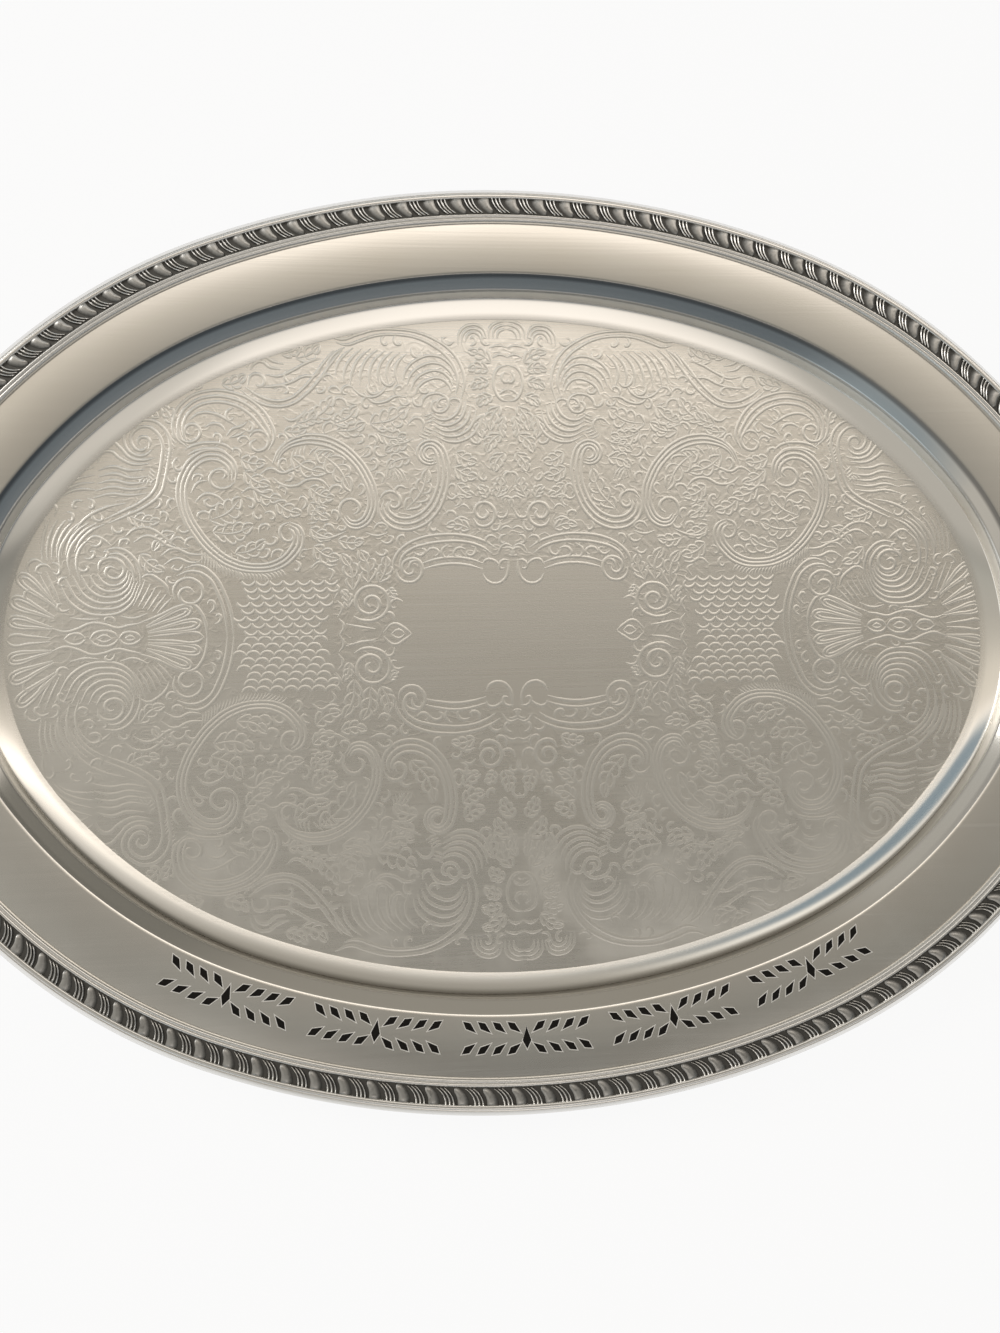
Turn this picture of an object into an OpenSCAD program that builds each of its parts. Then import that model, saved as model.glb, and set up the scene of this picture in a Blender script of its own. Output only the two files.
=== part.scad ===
// Oval serving tray: a stamped sheet dish with a cast gadroon border and a black inlaid motif in the rim

/* [Tray] */
// Length over the border
tray_l = 400; // [360:2:440]
// Width over the border, met to about 0.1 mm
tray_w = 292; // [264:2:316]
// Thickness of the sheet
sheet_t = 1.2; // [0.8:0.1:1.6]

/* [Well] */
// Radius of the concave foot of the wall
booge_r = 6; // [5:0.5:9]
// Height of the upright stretch of the wall
wall_h = 4; // [3:0.5:6]
// Width of the sloping step between the wall and the rim
step_w = 4.4; // [4:0.1:6]
// Height of the sloping step
step_h = 4; // [3.5:0.1:5]
// Radius of the fine reeds at the foot and the crest of the step
step_reed_r = 0.55; // [0.4:0.05:0.7]
// Width of the rim that shows between the border and the step
rim_w = 17.2; // [16:0.2:22]

/* [Gadroon border] */
// Diameter of the plain outer lip
lip_d = 4; // [3.6:0.1:4.4]
// Height of the lip's centre above the rim
lip_rise = 0.7; // [0.6:0.05:0.8]
// Width of the band of lobes and ribs
band_w = 5.2; // [4.8:0.1:6]
// Thickness of the plate under the lobes and ribs
bed_t = 0.9; // [0.8:0.05:1.1]
// Radius of the two reeds along the inner edge
reed_r = 0.7; // [0.6:0.05:0.75]
// Lobes in each quarter
units = 30; // [26:1:32]
// Radius of the bend of each lobe and rib
bend_r = 7; // [6:0.5:9]
// Radius of a lobe's section
lobe_r = 1.6; // [1.4:0.05:1.7]
// Depth of a lobe's centre under the plate's top
lobe_sink = 0.5; // [0.4:0.05:0.6]
// Radius of a rib's section
rib_r = 0.62; // [0.5:0.02:0.66]
// Depth of a rib's centre under the plate's top
rib_sink = 0.1; // [0.05:0.05:0.2]
// Ribs beside each lobe
ribs = 3; // [2:1:3]

/* [Rim inlay] */
// Groups along the front of the rim, one node each
inlay_pitch = 46; // [44:0.5:48]
// Length of one grain
grain_l = 6.2; // [5:0.1:6.4]
// Width of one grain
grain_w = 2.3; // [1.8:0.1:2.4]
// Slant of the grains to the run of the rim
grain_slant = 38; // [34:1:44]
// Distance of the grains' middles from the middle line of the inlay
grain_rise = 3.1; // [3:0.05:3.4]
// Distance between pairs of grains
grain_step = 4.6; // [4.4:0.1:4.8]
// Pairs of grains on each side of a bud
pair_count = 4; // [3:1:4]
// Length of the bud in the middle of a group
bud_l = 7.5; // [6:0.1:8]
// Width of the bud
bud_w = 2.8; // [2.2:0.1:3]
// Distance from a bud's middle to its first pair of grains
pair_start = 3.8; // [3.7:0.1:4.2]
// Depth of the filling under the face of the rim
inlay_recess = 0.15; // [0.1:0.05:0.3]

/* [Fits] */
// Gap between the lip and the edge of the sheet
edge_gap = 0.1; // [0.05:0.05:0.2]
// Gap between two border sections
joint_gap = 0.1; // [0.05:0.05:0.2]
// Gap between the ends of the ribs and the mouldings beside them
rib_gap = 0.1; // [0.05:0.05:0.2]
// Gap round each filling
inlay_gap = 0.05; // [0.03:0.01:0.1]

/* [Hidden] */
$fn = 96;
far = 400;

// The oval has eight arcs; they meet at two directions whose sine and cosine are short decimals
end_dir = [0.8, 0.6];
mid_dir = [0.352, 0.936];
end_angle = atan2(end_dir.y, end_dir.x);
mid_angle = atan2(mid_dir.y, mid_dir.x);
half_l = tray_l / 2;
slack = half_l - tray_w / 2;
end_gain = end_dir.x + end_dir.y - 1;
mid_gain = mid_dir.x + mid_dir.y - 1;
// Steps between the three radii, rounded so that every centre is a short decimal too
mid_share = 4 / 3;
mid_extra = round(slack * mid_share * 4) / 4;
side_extra = round((slack - mid_extra * end_gain) / mid_gain * 2) / 2;
end_r = half_l - mid_extra * end_dir.x - side_extra * mid_dir.x;
mid_r = end_r + mid_extra;
side_r = mid_r + side_extra;
end_c = [half_l - end_r, 0];
mid_c = end_c - mid_extra * end_dir;
side_c = [0, mid_c.y - side_extra * mid_dir.y];
cross_x = mid_c.x - mid_c.y * mid_dir.x / mid_dir.y;

// Levels and stations; stations count inwards from the outer edge
floor_z = sheet_t;
booge_z = floor_z + booge_r;
step_z = booge_z + wall_h;
rim_z = step_z + step_h;
bed_z = rim_z + bed_t;
lip_r = lip_d / 2;
// The two reeds run into each other by this share of their radius, and stand a little in the plate
reed_lap = 0.14;
reed_z = bed_z - reed_r / 10;
reed_1 = lip_d + band_w + reed_r;
reed_2 = reed_1 + (2 - reed_lap) * reed_r;
plate_edge = reed_2 + reed_r / 2;
border_w = reed_2 + reed_r;
crest = border_w + rim_w;
wall = crest + step_w;
floor_edge = wall + booge_r;
sheet_edge = lip_r + edge_gap;

// Where the underside bends at the foot and the crest of the step, for an even thickness
step_turn = atan2(step_w, step_h);
under_step_z = step_z - sheet_t * tan(step_turn / 2);
under_crest = crest - sheet_t * tan(45 - step_turn / 2);
// Places of the fine reeds, as shares of the step from its foot to its crest
reed_shares = [0.1, 0.93];

// The border's units are spaced evenly along the middle of the band
band_mid = lip_d + band_w / 2;
quarter_l = oval_length(band_mid);
unit_pitch = quarter_l / units;
// Ribs share what the lobe leaves of a pitch, with the first one drawn in towards the lobe
// and some room spare before the next one
rib_start = 0.35;
rib_spare = 0.25;
rib_pitch = (unit_pitch - 2 * lobe_r) / (ribs + rib_spare);
rib_run = band_w - 2 * rib_gap;
// Share of a pitch from a joint between two sections to the next lobe
unit_lead = 0.8;

// The inlay runs nearer the step than the border, at this share of the rim that shows
inlay_share = 0.62;
inlay_mid = border_w + rim_w * inlay_share;
// A grain is widest a little past its middle, by this share of its length
belly_share = 0.1;
inlay_names = ["far_left", "left", "centre", "right", "far_right"];
inlay_base = rim_z - sheet_t;

silver = [0.80, 0.79, 0.76];
border_silver = [0.70, 0.70, 0.68];
filling_black = [0.05, 0.045, 0.04];

function radians_of(degrees) = degrees * PI / 180;
function degrees_of(arc, radius) = arc / radius * 180 / PI;
function end_length(inset) = (end_r - inset) * radians_of(end_angle);
function mid_length(inset) = (mid_r - inset) * radians_of(mid_angle - end_angle);
function side_length(inset) = (side_r - inset) * radians_of(90 - mid_angle);
function oval_length(inset) = end_length(inset) + mid_length(inset) + side_length(inset);

// Places its children on the back right quarter: +X outwards from the outer edge, +Y along the edge,
// at a distance along the parallel oval that lies inset from the edge, counted from the +X axis
module on_oval(distance, inset) {
    past_end = distance - end_length(inset);
    past_mid = past_end - mid_length(inset);
    on_end = past_end < 0;
    on_mid = !on_end && past_mid < 0;
    centre = on_end ? end_c : on_mid ? mid_c : side_c;
    radius = on_end ? end_r : on_mid ? mid_r : side_r;
    angle = on_end ? degrees_of(distance, end_r - inset)
        : on_mid ? end_angle + degrees_of(past_end, mid_r - inset)
        : mid_angle + degrees_of(past_mid, side_r - inset);
    translate([centre.x, centre.y, 0]) rotate([0, 0, angle]) translate([radius, 0, 0]) children();
}

// The plan areas that belong to the three arcs of the back right quarter
function end_area(low) = [[end_c.x, low], [end_c.x + far, low], end_c + far * end_dir, end_c];
function mid_area() = [end_c, end_c + far * end_dir, [cross_x, 0] + far * mid_dir, [cross_x, 0]];
function side_area(low) = [[low, 0], [cross_x, 0], [cross_x, 0] + far * mid_dir, [low, far]];

// Turns a profile about one arc's centre; the profile's X is 0 at the outer edge and negative inwards
module turned(centre, radius, area) {
    intersection() {
        translate([centre.x, centre.y, 0])
            rotate([0, 0, 180])
                rotate_extrude()
                    intersection() {
                        translate([radius, 0]) children();
                        translate([0, -far / 2]) square(far);
                    }
        translate([0, 0, -far / 2]) linear_extrude(far) polygon(area);
    }
}

// Carries a profile round the back right quarter, starting low above each axis
module quarter_turned(low) {
    turned(end_c, end_r, end_area(low)) children();
    turned(mid_c, mid_r, mid_area()) children();
    turned(side_c, side_r, side_area(low)) children();
}

// Carries a profile round the whole oval
module oval_turned() {
    for (side = [0, 1])
        mirror([side, 0, 0])
            turned(end_c, end_r, [end_c, end_c + far * [end_dir.x, -end_dir.y], end_c + far * end_dir])
                children();
    for (across = [0, 1])
        for (side = [0, 1])
            mirror([0, across, 0])
                mirror([side, 0, 0])
                    turned(mid_c, mid_r, mid_area()) children();
    for (across = [0, 1])
        mirror([0, across, 0])
            turned(side_c, side_r, [
                [-cross_x, 0], [cross_x, 0],
                [cross_x, 0] + far * mid_dir, [-cross_x, 0] + far * [-mid_dir.x, mid_dir.y]
            ]) children();
}

// Section of the sheet from the floor to its outer edge
module sheet_profile() {
    translate([-far, 0]) square([far - floor_edge, sheet_t]);
    translate([-floor_edge, booge_z])
        intersection() {
            difference() {
                circle(booge_r + sheet_t);
                circle(booge_r);
            }
            translate([0, -far]) square(far);
        }
    polygon([
        [-wall, booge_z], [-wall + sheet_t, booge_z], [-wall + sheet_t, under_step_z],
        [-under_crest, rim_z - sheet_t], [-sheet_edge, rim_z - sheet_t],
        [-sheet_edge, rim_z], [-crest, rim_z], [-wall, step_z]
    ]);
    for (share = reed_shares)
        translate([-wall + share * step_w, step_z + share * step_h]) circle(step_reed_r);
}

// One slanted grain of the inlay: a kite, made smaller all round by gap
module grain(length, width, gap) {
    inset = gap * norm([length, width]) * 2 / (length * width);
    belly = length * belly_share;
    scale(1 - inset)
        polygon([[-length / 2, 0], [belly, -width / 2], [length / 2, 0], [belly, width / 2]]);
}

// Places a stroke on the front of the rim, along from the middle and rise nearer the edge, turned by slant
module on_front(along, rise, slant) {
    side = along < 0 ? 1 : 0;
    turn = side == 1 ? 1 : -1;
    mirror([side, 0, 0])
        mirror([0, 1, 0])
            on_oval(oval_length(inlay_mid) - abs(along), inlay_mid)
                translate([rise - inlay_mid, 0])
                    rotate([0, 0, atan2(turn * cos(slant), sin(slant))]) children();
}

// The plan of one group: a bud in the middle and pairs of grains that lean away from it on both sides
module inlay_plan(index, gap) {
    middle = (index - (len(inlay_names) - 1) / 2) * inlay_pitch;
    on_front(middle, 0, 90) grain(bud_l, bud_w, gap);
    for (way = [-1, 1])
        for (pair = [0 : pair_count - 1])
            for (up = [-1, 1])
                on_front(
                    middle + way * (pair_start + pair * grain_step),
                    up * grain_rise,
                    way > 0 ? up * grain_slant : 180 - up * grain_slant
                ) grain(grain_l, grain_w, gap);
}

module inlay(index) {
    color(filling_black)
        translate([0, 0, inlay_base])
            linear_extrude(sheet_t - inlay_recess) inlay_plan(index, inlay_gap);
}

module tray_body() {
    color(silver)
        difference() {
            oval_turned() sheet_profile();
            translate([0, 0, inlay_base - sheet_t])
                linear_extrude(3 * sheet_t)
                    for (index = [0 : len(inlay_names) - 1]) inlay_plan(index, 0);
        }
}

// Section of the cast border: lip, plate and two reeds, without lobes and ribs
module border_profile() {
    difference() {
        union() {
            translate([-lip_r, rim_z + lip_rise]) circle(lip_r);
            translate([-plate_edge, rim_z]) square([plate_edge - lip_r, bed_t]);
            for (station = [reed_1, reed_2])
                translate([-station, reed_z]) circle(reed_r);
        }
        translate([-far, rim_z - far]) square([far - lip_r, far]);
    }
}

// Section of a bar that rises out of the plate, cut flat halfway down in it
module bar_section(section_r, sink) {
    intersection() {
        translate([0, -sink]) circle(section_r);
        translate([-section_r, -bed_t / 2]) square([2 * section_r, bed_t + section_r]);
    }
}

// A bar that leaves the lip square to it and bends as it runs inwards, clockwise for a way of 1
module bent_bar(section_r, sink, way) {
    sweep = asin(rib_run / (bend_r + section_r));
    translate([-lip_d - rib_gap, -way * bend_r, bed_z])
        rotate([0, 0, way > 0 ? 90 : 270 - sweep])
            rotate_extrude(angle = sweep) translate([bend_r, 0]) bar_section(section_r, sink);
}

// One lobe and the ribs that follow it
module gadroon_unit(way) {
    bent_bar(lobe_r, lobe_sink, way);
    for (rib = [1 : ribs])
        translate([0, -way * (lobe_r + (rib - rib_start) * rib_pitch), 0]) bent_bar(rib_r, rib_sink, way);
}

// One unit at its place on the back right quarter, counted from the +X axis
module placed_unit(index, way) {
    on_oval((index + way * unit_lead) * unit_pitch, band_mid) gadroon_unit(way);
}

// One quarter of the border; the lobes bend the same way round the tray in every quarter,
// and the units at a joint are cut there, so that each section has its share of them
module border_quarter(way) {
    low = joint_gap / 2;
    quarter_turned(low) border_profile();
    for (index = [1 : units - 1]) placed_unit(index, way);
    intersection() {
        for (index = [0, units]) placed_unit(index, way);
        translate([low, low, 0]) cube(far);
    }
}

module border_back_right() { color(border_silver) border_quarter(1); }
module border_back_left() { color(border_silver) mirror([1, 0, 0]) border_quarter(-1); }
module border_front_left() { color(border_silver) rotate([0, 0, 180]) border_quarter(1); }
module border_front_right() { color(border_silver) mirror([0, 1, 0]) border_quarter(-1); }

tray_body();
border_back_right();
border_back_left();
border_front_left();
border_front_right();
for (index = [0 : len(inlay_names) - 1])
    inlay(index);
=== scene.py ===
"""An oval silver-plated tray: chased floor, stepped wall, inlaid rim and cast gadroon border."""

import math

import bmesh
import bpy
from mathutils import Matrix, Vector
from mathutils.kdtree import KDTree


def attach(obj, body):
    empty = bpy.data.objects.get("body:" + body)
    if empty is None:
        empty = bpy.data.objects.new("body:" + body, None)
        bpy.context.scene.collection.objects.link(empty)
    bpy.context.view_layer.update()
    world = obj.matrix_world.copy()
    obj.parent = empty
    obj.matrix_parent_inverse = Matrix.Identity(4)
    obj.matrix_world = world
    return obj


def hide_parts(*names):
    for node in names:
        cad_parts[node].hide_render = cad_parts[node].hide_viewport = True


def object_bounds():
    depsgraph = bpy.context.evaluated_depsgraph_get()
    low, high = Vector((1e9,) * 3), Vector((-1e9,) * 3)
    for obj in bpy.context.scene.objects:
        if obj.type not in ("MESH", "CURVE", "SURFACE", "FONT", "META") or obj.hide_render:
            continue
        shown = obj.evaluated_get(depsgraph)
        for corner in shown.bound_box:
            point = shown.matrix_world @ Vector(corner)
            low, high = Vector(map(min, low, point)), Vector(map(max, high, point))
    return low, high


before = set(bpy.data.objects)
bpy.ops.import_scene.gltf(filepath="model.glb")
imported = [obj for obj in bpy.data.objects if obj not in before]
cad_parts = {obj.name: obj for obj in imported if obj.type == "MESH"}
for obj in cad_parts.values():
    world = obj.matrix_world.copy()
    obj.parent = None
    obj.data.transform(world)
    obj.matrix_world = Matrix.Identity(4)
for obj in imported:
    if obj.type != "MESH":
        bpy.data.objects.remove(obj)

bl_info = {
    "name": "Oval Serving Tray",
    "version": (1, 0, 0),
    "blender": (4, 5, 0),
    "location": "View3D > Sidebar > Tray",
    "description": "Models and finishes an oval silver-plated tray around its packed solids",
    "category": "Object",
}

MM = 0.001
CAD_LOW, CAD_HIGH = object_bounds()
BORDERS = ("border_back_right", "border_back_left", "border_front_left", "border_front_right")
INLAYS = ("inlay_far_left", "inlay_left", "inlay_centre", "inlay_right", "inlay_far_right")
BODY = "root"
UP = Vector((0.0, 0.0, 1.0))

# Distance within which corners of a mesh are one
MERGE = 0.002 * MM

# Directions at which the arcs of the oval meet, and the steps between their three radii
END_DIR = Vector((0.8, 0.6))
MID_DIR = Vector((0.352, 0.936))
MID_EXTRA = 72.0 * MM
SIDE_EXTRA = 87.5 * MM

# Sections: pitch of the two reeds in their radii, ring of the floor that is swept round, start of the roll
# outside the crest, gap of the sheet's edge inside the lip's middle, and how far the corners of the underside
# stand off those above, in thicknesses of the sheet
REED_PITCH = 1.86
FLOOR_RING = 3.0 * MM
ROLL_START = 0.6 * MM
EDGE_GAP = 0.1 * MM
CREST_SETBACK = 0.46
STEP_SETBACK = 0.44

# Slots of the inlay: play round a filling, overshoot of the cutter, and the bright edge round each slot
SLOT_PLAY = 0.06 * MM
SLOT_REACH = 3.0 * MM
CUT_EDGE_OUT = 0.28 * MM
CUT_EDGE_WIDTH = 0.25 * MM
CUT_EDGE_SUNK = 0.05 * MM
CUT_EDGE_HEIGHT = 0.09 * MM

# Border: room left beside the ribs and shift of the ribs to their lobe, both in a rib's pitch, and place of
# the first lobe in a lobe's pitch
RIB_SPARE = 0.25
RIB_SHIFT = 0.35
FIRST_LOBE = 0.8

# Places of the casting's four finishes among its materials
CAST_PLATE, CAST_LOBES, CAST_RIBS, CAST_BED = range(4)

# Middle of the chased pattern, which sits a little off the middle of the tray
PATTERN = Vector((1.3, 2.6, 0.0)) * MM

# Half length and half width of the curled ground, of its blank middle and of the panel of scales to each side
GROUND_HALF = Vector((158.7, 103.1)) * MM
BLANK_HALF = Vector((37.0, 22.2)) * MM
PANEL_HALF = Vector((17.2, 18.9)) * MM
PANEL_MIDDLE = 76.5 * MM

# Small chased curls, in mm from the pattern's middle: the oval that holds them, the middle and the panel that
# stay free of them, their spacing, and the room that one needs to other lines as a share of the spacing
CURLS_OVAL = Vector((158.0, 102.0))
CURLS_BLANK = Vector((37.0, 20.0))
CURLS_PANEL_LOW = Vector((58.0, 0.0))
CURLS_PANEL_HIGH = Vector((95.0, 19.0))
CURLS_SPACING = 4.2
CURLS_ROOM = 0.36

# Chased lines: spread of their ridge over the drawn width, and length of one step along them in mm
STROKE_SPREAD = 1.25
STROKE_STEP = 0.8

# Tints of the plate: its wear on floor and rim, and the painted shade and painted highlight on stretches of
# the wall
TARNISHED = (0.74, 0.70, 0.63)
HAZY = (0.93, 0.93, 0.90)
SCRATCHED = (0.95, 0.94, 0.92)
# Painted shade at the front corner of the wall, a painted highlight on the back wall, and painted shade at
# the back step's foot and under the back crest
FRONT_CORNER_SHADE = (0.24, 0.22, 0.19)
BACK_WALL_HIGHLIGHT = (0.95, 0.94, 0.91)
BACK_STEP_SHADE = (0.3, 0.31, 0.31)
BACK_CREST_SHADE = (0.2, 0.2, 0.2)


class TrayShape(bpy.types.PropertyGroup):
    """Sizes of the tray that its looks depend on"""

    sheet: bpy.props.FloatProperty(
        name="Sheet", description="Thickness of the sheet",
        default=1.2 * MM, unit="LENGTH")
    flank: bpy.props.FloatProperty(
        name="Flank", description="Width of the rising flank of the wall",
        default=6.0 * MM, unit="LENGTH")
    foot: bpy.props.FloatProperty(
        name="Foot", description="Radius of the crease between floor and wall",
        default=0.35 * MM, unit="LENGTH")
    foot_turn: bpy.props.FloatProperty(
        name="Foot turn", description="Slope at the top of the foot",
        default=math.radians(24.5), subtype="ANGLE")
    flank_turn: bpy.props.FloatProperty(
        name="Flank turn", description="Slope at the top of the flank",
        default=math.radians(36), subtype="ANGLE")
    corner: bpy.props.FloatProperty(
        name="Corner", description="Radius of the turn into the upright wall",
        default=0.5 * MM, unit="LENGTH")
    wall_height: bpy.props.FloatProperty(
        name="Wall height", description="Height of the step's foot above the floor",
        default=8.9 * MM, unit="LENGTH")
    step_width: bpy.props.FloatProperty(
        name="Step width", description="Width of the sloping step",
        default=4.4 * MM, unit="LENGTH")
    step_height: bpy.props.FloatProperty(
        name="Step height", description="Height of the sloping step",
        default=5.1 * MM, unit="LENGTH")
    crest: bpy.props.FloatProperty(
        name="Crest", description="Radius of the roll from the rim into the crest",
        default=2.7 * MM, unit="LENGTH")
    crest_edge: bpy.props.FloatProperty(
        name="Crest edge", description="Radius of the crest's tight edge",
        default=0.3 * MM, unit="LENGTH")
    roll_turn: bpy.props.FloatProperty(
        name="Roll turn", description="Slope at which the roll meets the tight edge",
        default=math.radians(25), subtype="ANGLE")
    crest_turn: bpy.props.FloatProperty(
        name="Crest turn", description="Slope of the step under the crest",
        default=math.radians(41), subtype="ANGLE")
    rim_width: bpy.props.FloatProperty(
        name="Rim", description="Width of the rim inside the border",
        default=18.1 * MM, unit="LENGTH")
    rim_fall: bpy.props.FloatProperty(
        name="Rim fall", description="How far the rim falls towards its crest",
        default=1.1 * MM, unit="LENGTH")
    well_shift: bpy.props.FloatProperty(
        name="Well shift", description="How far the well sits off the middle, to the back",
        default=1.0 * MM, unit="LENGTH")
    lip: bpy.props.FloatProperty(
        name="Lip", description="Width of the plain outer lip",
        default=3.5 * MM, unit="LENGTH")
    lip_rise: bpy.props.FloatProperty(
        name="Lip rise", description="Height of the lip's bead above the rim",
        default=1.0 * MM, unit="LENGTH")
    band: bpy.props.FloatProperty(
        name="Band", description="Width of the band of lobes and ribs",
        default=5.0 * MM, unit="LENGTH")
    bed: bpy.props.FloatProperty(
        name="Bed", description="Thickness of the plate under the lobes",
        default=0.9 * MM, unit="LENGTH")
    reed: bpy.props.FloatProperty(
        name="Reed", description="Radius of the two reeds inside the band",
        default=0.65 * MM, unit="LENGTH")
    units: bpy.props.IntProperty(
        name="Lobes", description="Lobes in a quarter of the border",
        default=30)
    bend: bpy.props.FloatProperty(
        name="Bend", description="Radius of the bend of a lobe",
        default=6.0 * MM, unit="LENGTH")
    lobe: bpy.props.FloatProperty(
        name="Lobe", description="Half the width of a lobe",
        default=2.45 * MM, unit="LENGTH")
    rib: bpy.props.FloatProperty(
        name="Rib", description="Half the width of a rib",
        default=0.44 * MM, unit="LENGTH")
    ribs: bpy.props.IntProperty(
        name="Ribs", description="Ribs beside each lobe",
        default=3)
    relief: bpy.props.FloatProperty(
        name="Relief", description="Height of the chased lines over their half width",
        default=0.16)
    worn: bpy.props.FloatProperty(
        name="Wear", description="Share of the relief that is worn off at the front",
        default=0.45, subtype="FACTOR")


class TrayColours(bpy.types.PropertyGroup):
    """Colours of the tray and of the stage"""

    plate: bpy.props.FloatVectorProperty(
        name="Plate", description="Silver plate of the sheet",
        default=(0.83, 0.81, 0.77), subtype="COLOR")
    cast: bpy.props.FloatVectorProperty(
        name="Casting", description="Polished parts of the border",
        default=(0.82, 0.81, 0.79), subtype="COLOR")
    lobe: bpy.props.FloatVectorProperty(
        name="Lobes", description="Worn grey of the lobes",
        default=(0.56, 0.555, 0.54), subtype="COLOR")
    recess: bpy.props.FloatVectorProperty(
        name="Recess", description="Dark of the border's hollows",
        default=(0.12, 0.117, 0.11), subtype="COLOR")
    filling: bpy.props.FloatVectorProperty(
        name="Filling", description="Black of the rim's inlay",
        default=(0.006, 0.005, 0.004), subtype="COLOR")
    ground: bpy.props.FloatVectorProperty(
        name="Floor", description="Pale floor under the tray",
        default=(0.95, 0.95, 0.95), subtype="COLOR")
    floor_white: bpy.props.FloatProperty(
        name="Floor white", description="Share of plain white in the floor as it is seen",
        default=0.9, subtype="FACTOR")


class Arc:
    """One arc of the oval's outer edge, run through anticlockwise seen from above"""

    def __init__(self, centre, radius, start, turn):
        self.centre = centre
        self.radius = radius
        self.start = start
        self.turn = turn

    def point(self, angle, inset):
        """The point at an angle on the parallel that lies inset from the edge"""
        reach = self.radius - inset
        return Vector((self.centre.x + reach * math.cos(angle), self.centre.y + reach * math.sin(angle), 0.0))

    def length(self, inset):
        return (self.radius - inset) * self.turn


class Oval:
    """The outer edge of the tray as twelve arcs from the +X axis, three to a quarter"""

    def __init__(self, half_length):
        end_turn = math.atan2(END_DIR.y, END_DIR.x)
        mid_turn = math.atan2(MID_DIR.y, MID_DIR.x) - end_turn
        side_turn = math.pi / 2 - mid_turn - end_turn
        end_radius = half_length - MID_EXTRA * END_DIR.x - SIDE_EXTRA * MID_DIR.x
        end = Vector((half_length - end_radius, 0.0))
        mid = end - MID_EXTRA * END_DIR
        side = Vector((0.0, mid.y - SIDE_EXTRA * MID_DIR.y))
        quarter = (
            (end, end_radius, end_turn),
            (mid, end_radius + MID_EXTRA, mid_turn),
            (side, end_radius + MID_EXTRA + SIDE_EXTRA, side_turn),
        )
        self.arcs = []
        angle = 0.0
        for flip_x, flip_y, order in ((1, 1, 1), (-1, 1, -1), (-1, -1, 1), (1, -1, -1)):
            for centre, radius, turn in quarter[::order]:
                placed = Vector((centre.x * flip_x, centre.y * flip_y))
                self.arcs.append(Arc(placed, radius, angle, turn))
                angle += turn

    def quarter(self, index):
        """The three arcs of a quarter, from 0 at the right end to the back"""
        return self.arcs[3 * index:3 * index + 3]

    def length(self, inset):
        return sum(arc.length(inset) for arc in self.arcs)

    def at(self, distance, inset):
        """Arc and angle at a distance along the parallel that lies inset from the edge"""
        for arc in self.arcs:
            if distance <= arc.length(inset):
                return arc, arc.start + distance / (arc.radius - inset)
            distance -= arc.length(inset)
        return self.arcs[-1], math.tau

    def inset_of(self, point):
        """How far a point lies inwards from the outer edge"""
        for arc in self.arcs:
            out = Vector((point.x, point.y)) - arc.centre
            angle = math.atan2(out.y, out.x) % math.tau
            if arc.start - 1e-6 <= angle <= arc.start + arc.turn + 1e-6:
                return arc.radius - out.length
        raise ValueError("point lies outside every arc of the oval")


OVAL = Oval(CAD_HIGH.x)


class Stations:
    """Heights and insets that follow from the shape's sizes"""

    def __init__(self, shape):
        self.floor = shape.sheet
        self.step_z = self.floor + shape.wall_height
        self.rim_z = self.step_z + shape.step_height
        self.bed_z = self.rim_z + shape.bed
        self.reed_1 = shape.lip + shape.band + shape.reed
        self.reed_2 = self.reed_1 + REED_PITCH * shape.reed
        self.border = self.reed_2 + shape.reed
        self.crest = self.border + shape.rim_width
        self.wall = self.crest + shape.step_width
        self.floor_edge = self.wall + shape.flank
        self.rim_fall = shape.rim_fall
        self.well_shift = shape.well_shift

    def rim_share(self, inset):
        """Share of the rim's width that lies outside an inset: 0 at the border, 1 from the crest inwards"""
        share = (inset - self.border) / (self.crest - self.border)
        return min(1.0, max(0.0, share))

    def fall(self, inset):
        """How far the rim has fallen at an inset"""
        return self.rim_fall * self.rim_share(inset) ** 2

    def shift(self, point, inset):
        """How far a point of rim or well moves to the back, most at the back and not at all in front"""
        reach = CAD_HIGH.y - self.crest
        return self.well_shift * self.rim_share(inset) * (1.0 + point.y / reach)


class Field:
    """One output of a node; arithmetic with it adds Math nodes"""

    def __init__(self, tree, socket):
        self.tree = tree
        self.socket = socket

    def maths(self, operation, left, right=0.0):
        node = self.tree.nodes.new("ShaderNodeMath")
        node.operation = operation
        feed(self.tree, node.inputs[0], left)
        feed(self.tree, node.inputs[1], right)
        return Field(self.tree, node.outputs[0])

    def __add__(self, other):
        return self.maths("ADD", self, other)

    def __radd__(self, other):
        return self.maths("ADD", other, self)

    def __sub__(self, other):
        return self.maths("SUBTRACT", self, other)

    def __rsub__(self, other):
        return self.maths("SUBTRACT", other, self)

    def __mul__(self, other):
        return self.maths("MULTIPLY", self, other)

    def __rmul__(self, other):
        return self.maths("MULTIPLY", other, self)

    def __abs__(self):
        return self.maths("ABSOLUTE", self)

    def __pow__(self, power):
        return self.maths("POWER", self, power)


def feed(tree, socket, value):
    """Links a field to a socket, or sets the socket's own value"""
    if isinstance(value, Field):
        tree.links.new(value.socket, socket)
    elif hasattr(socket.default_value, "__len__") and len(socket.default_value) == 4 and len(value) == 3:
        socket.default_value = (*value, 1.0)
    else:
        socket.default_value = value


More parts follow.
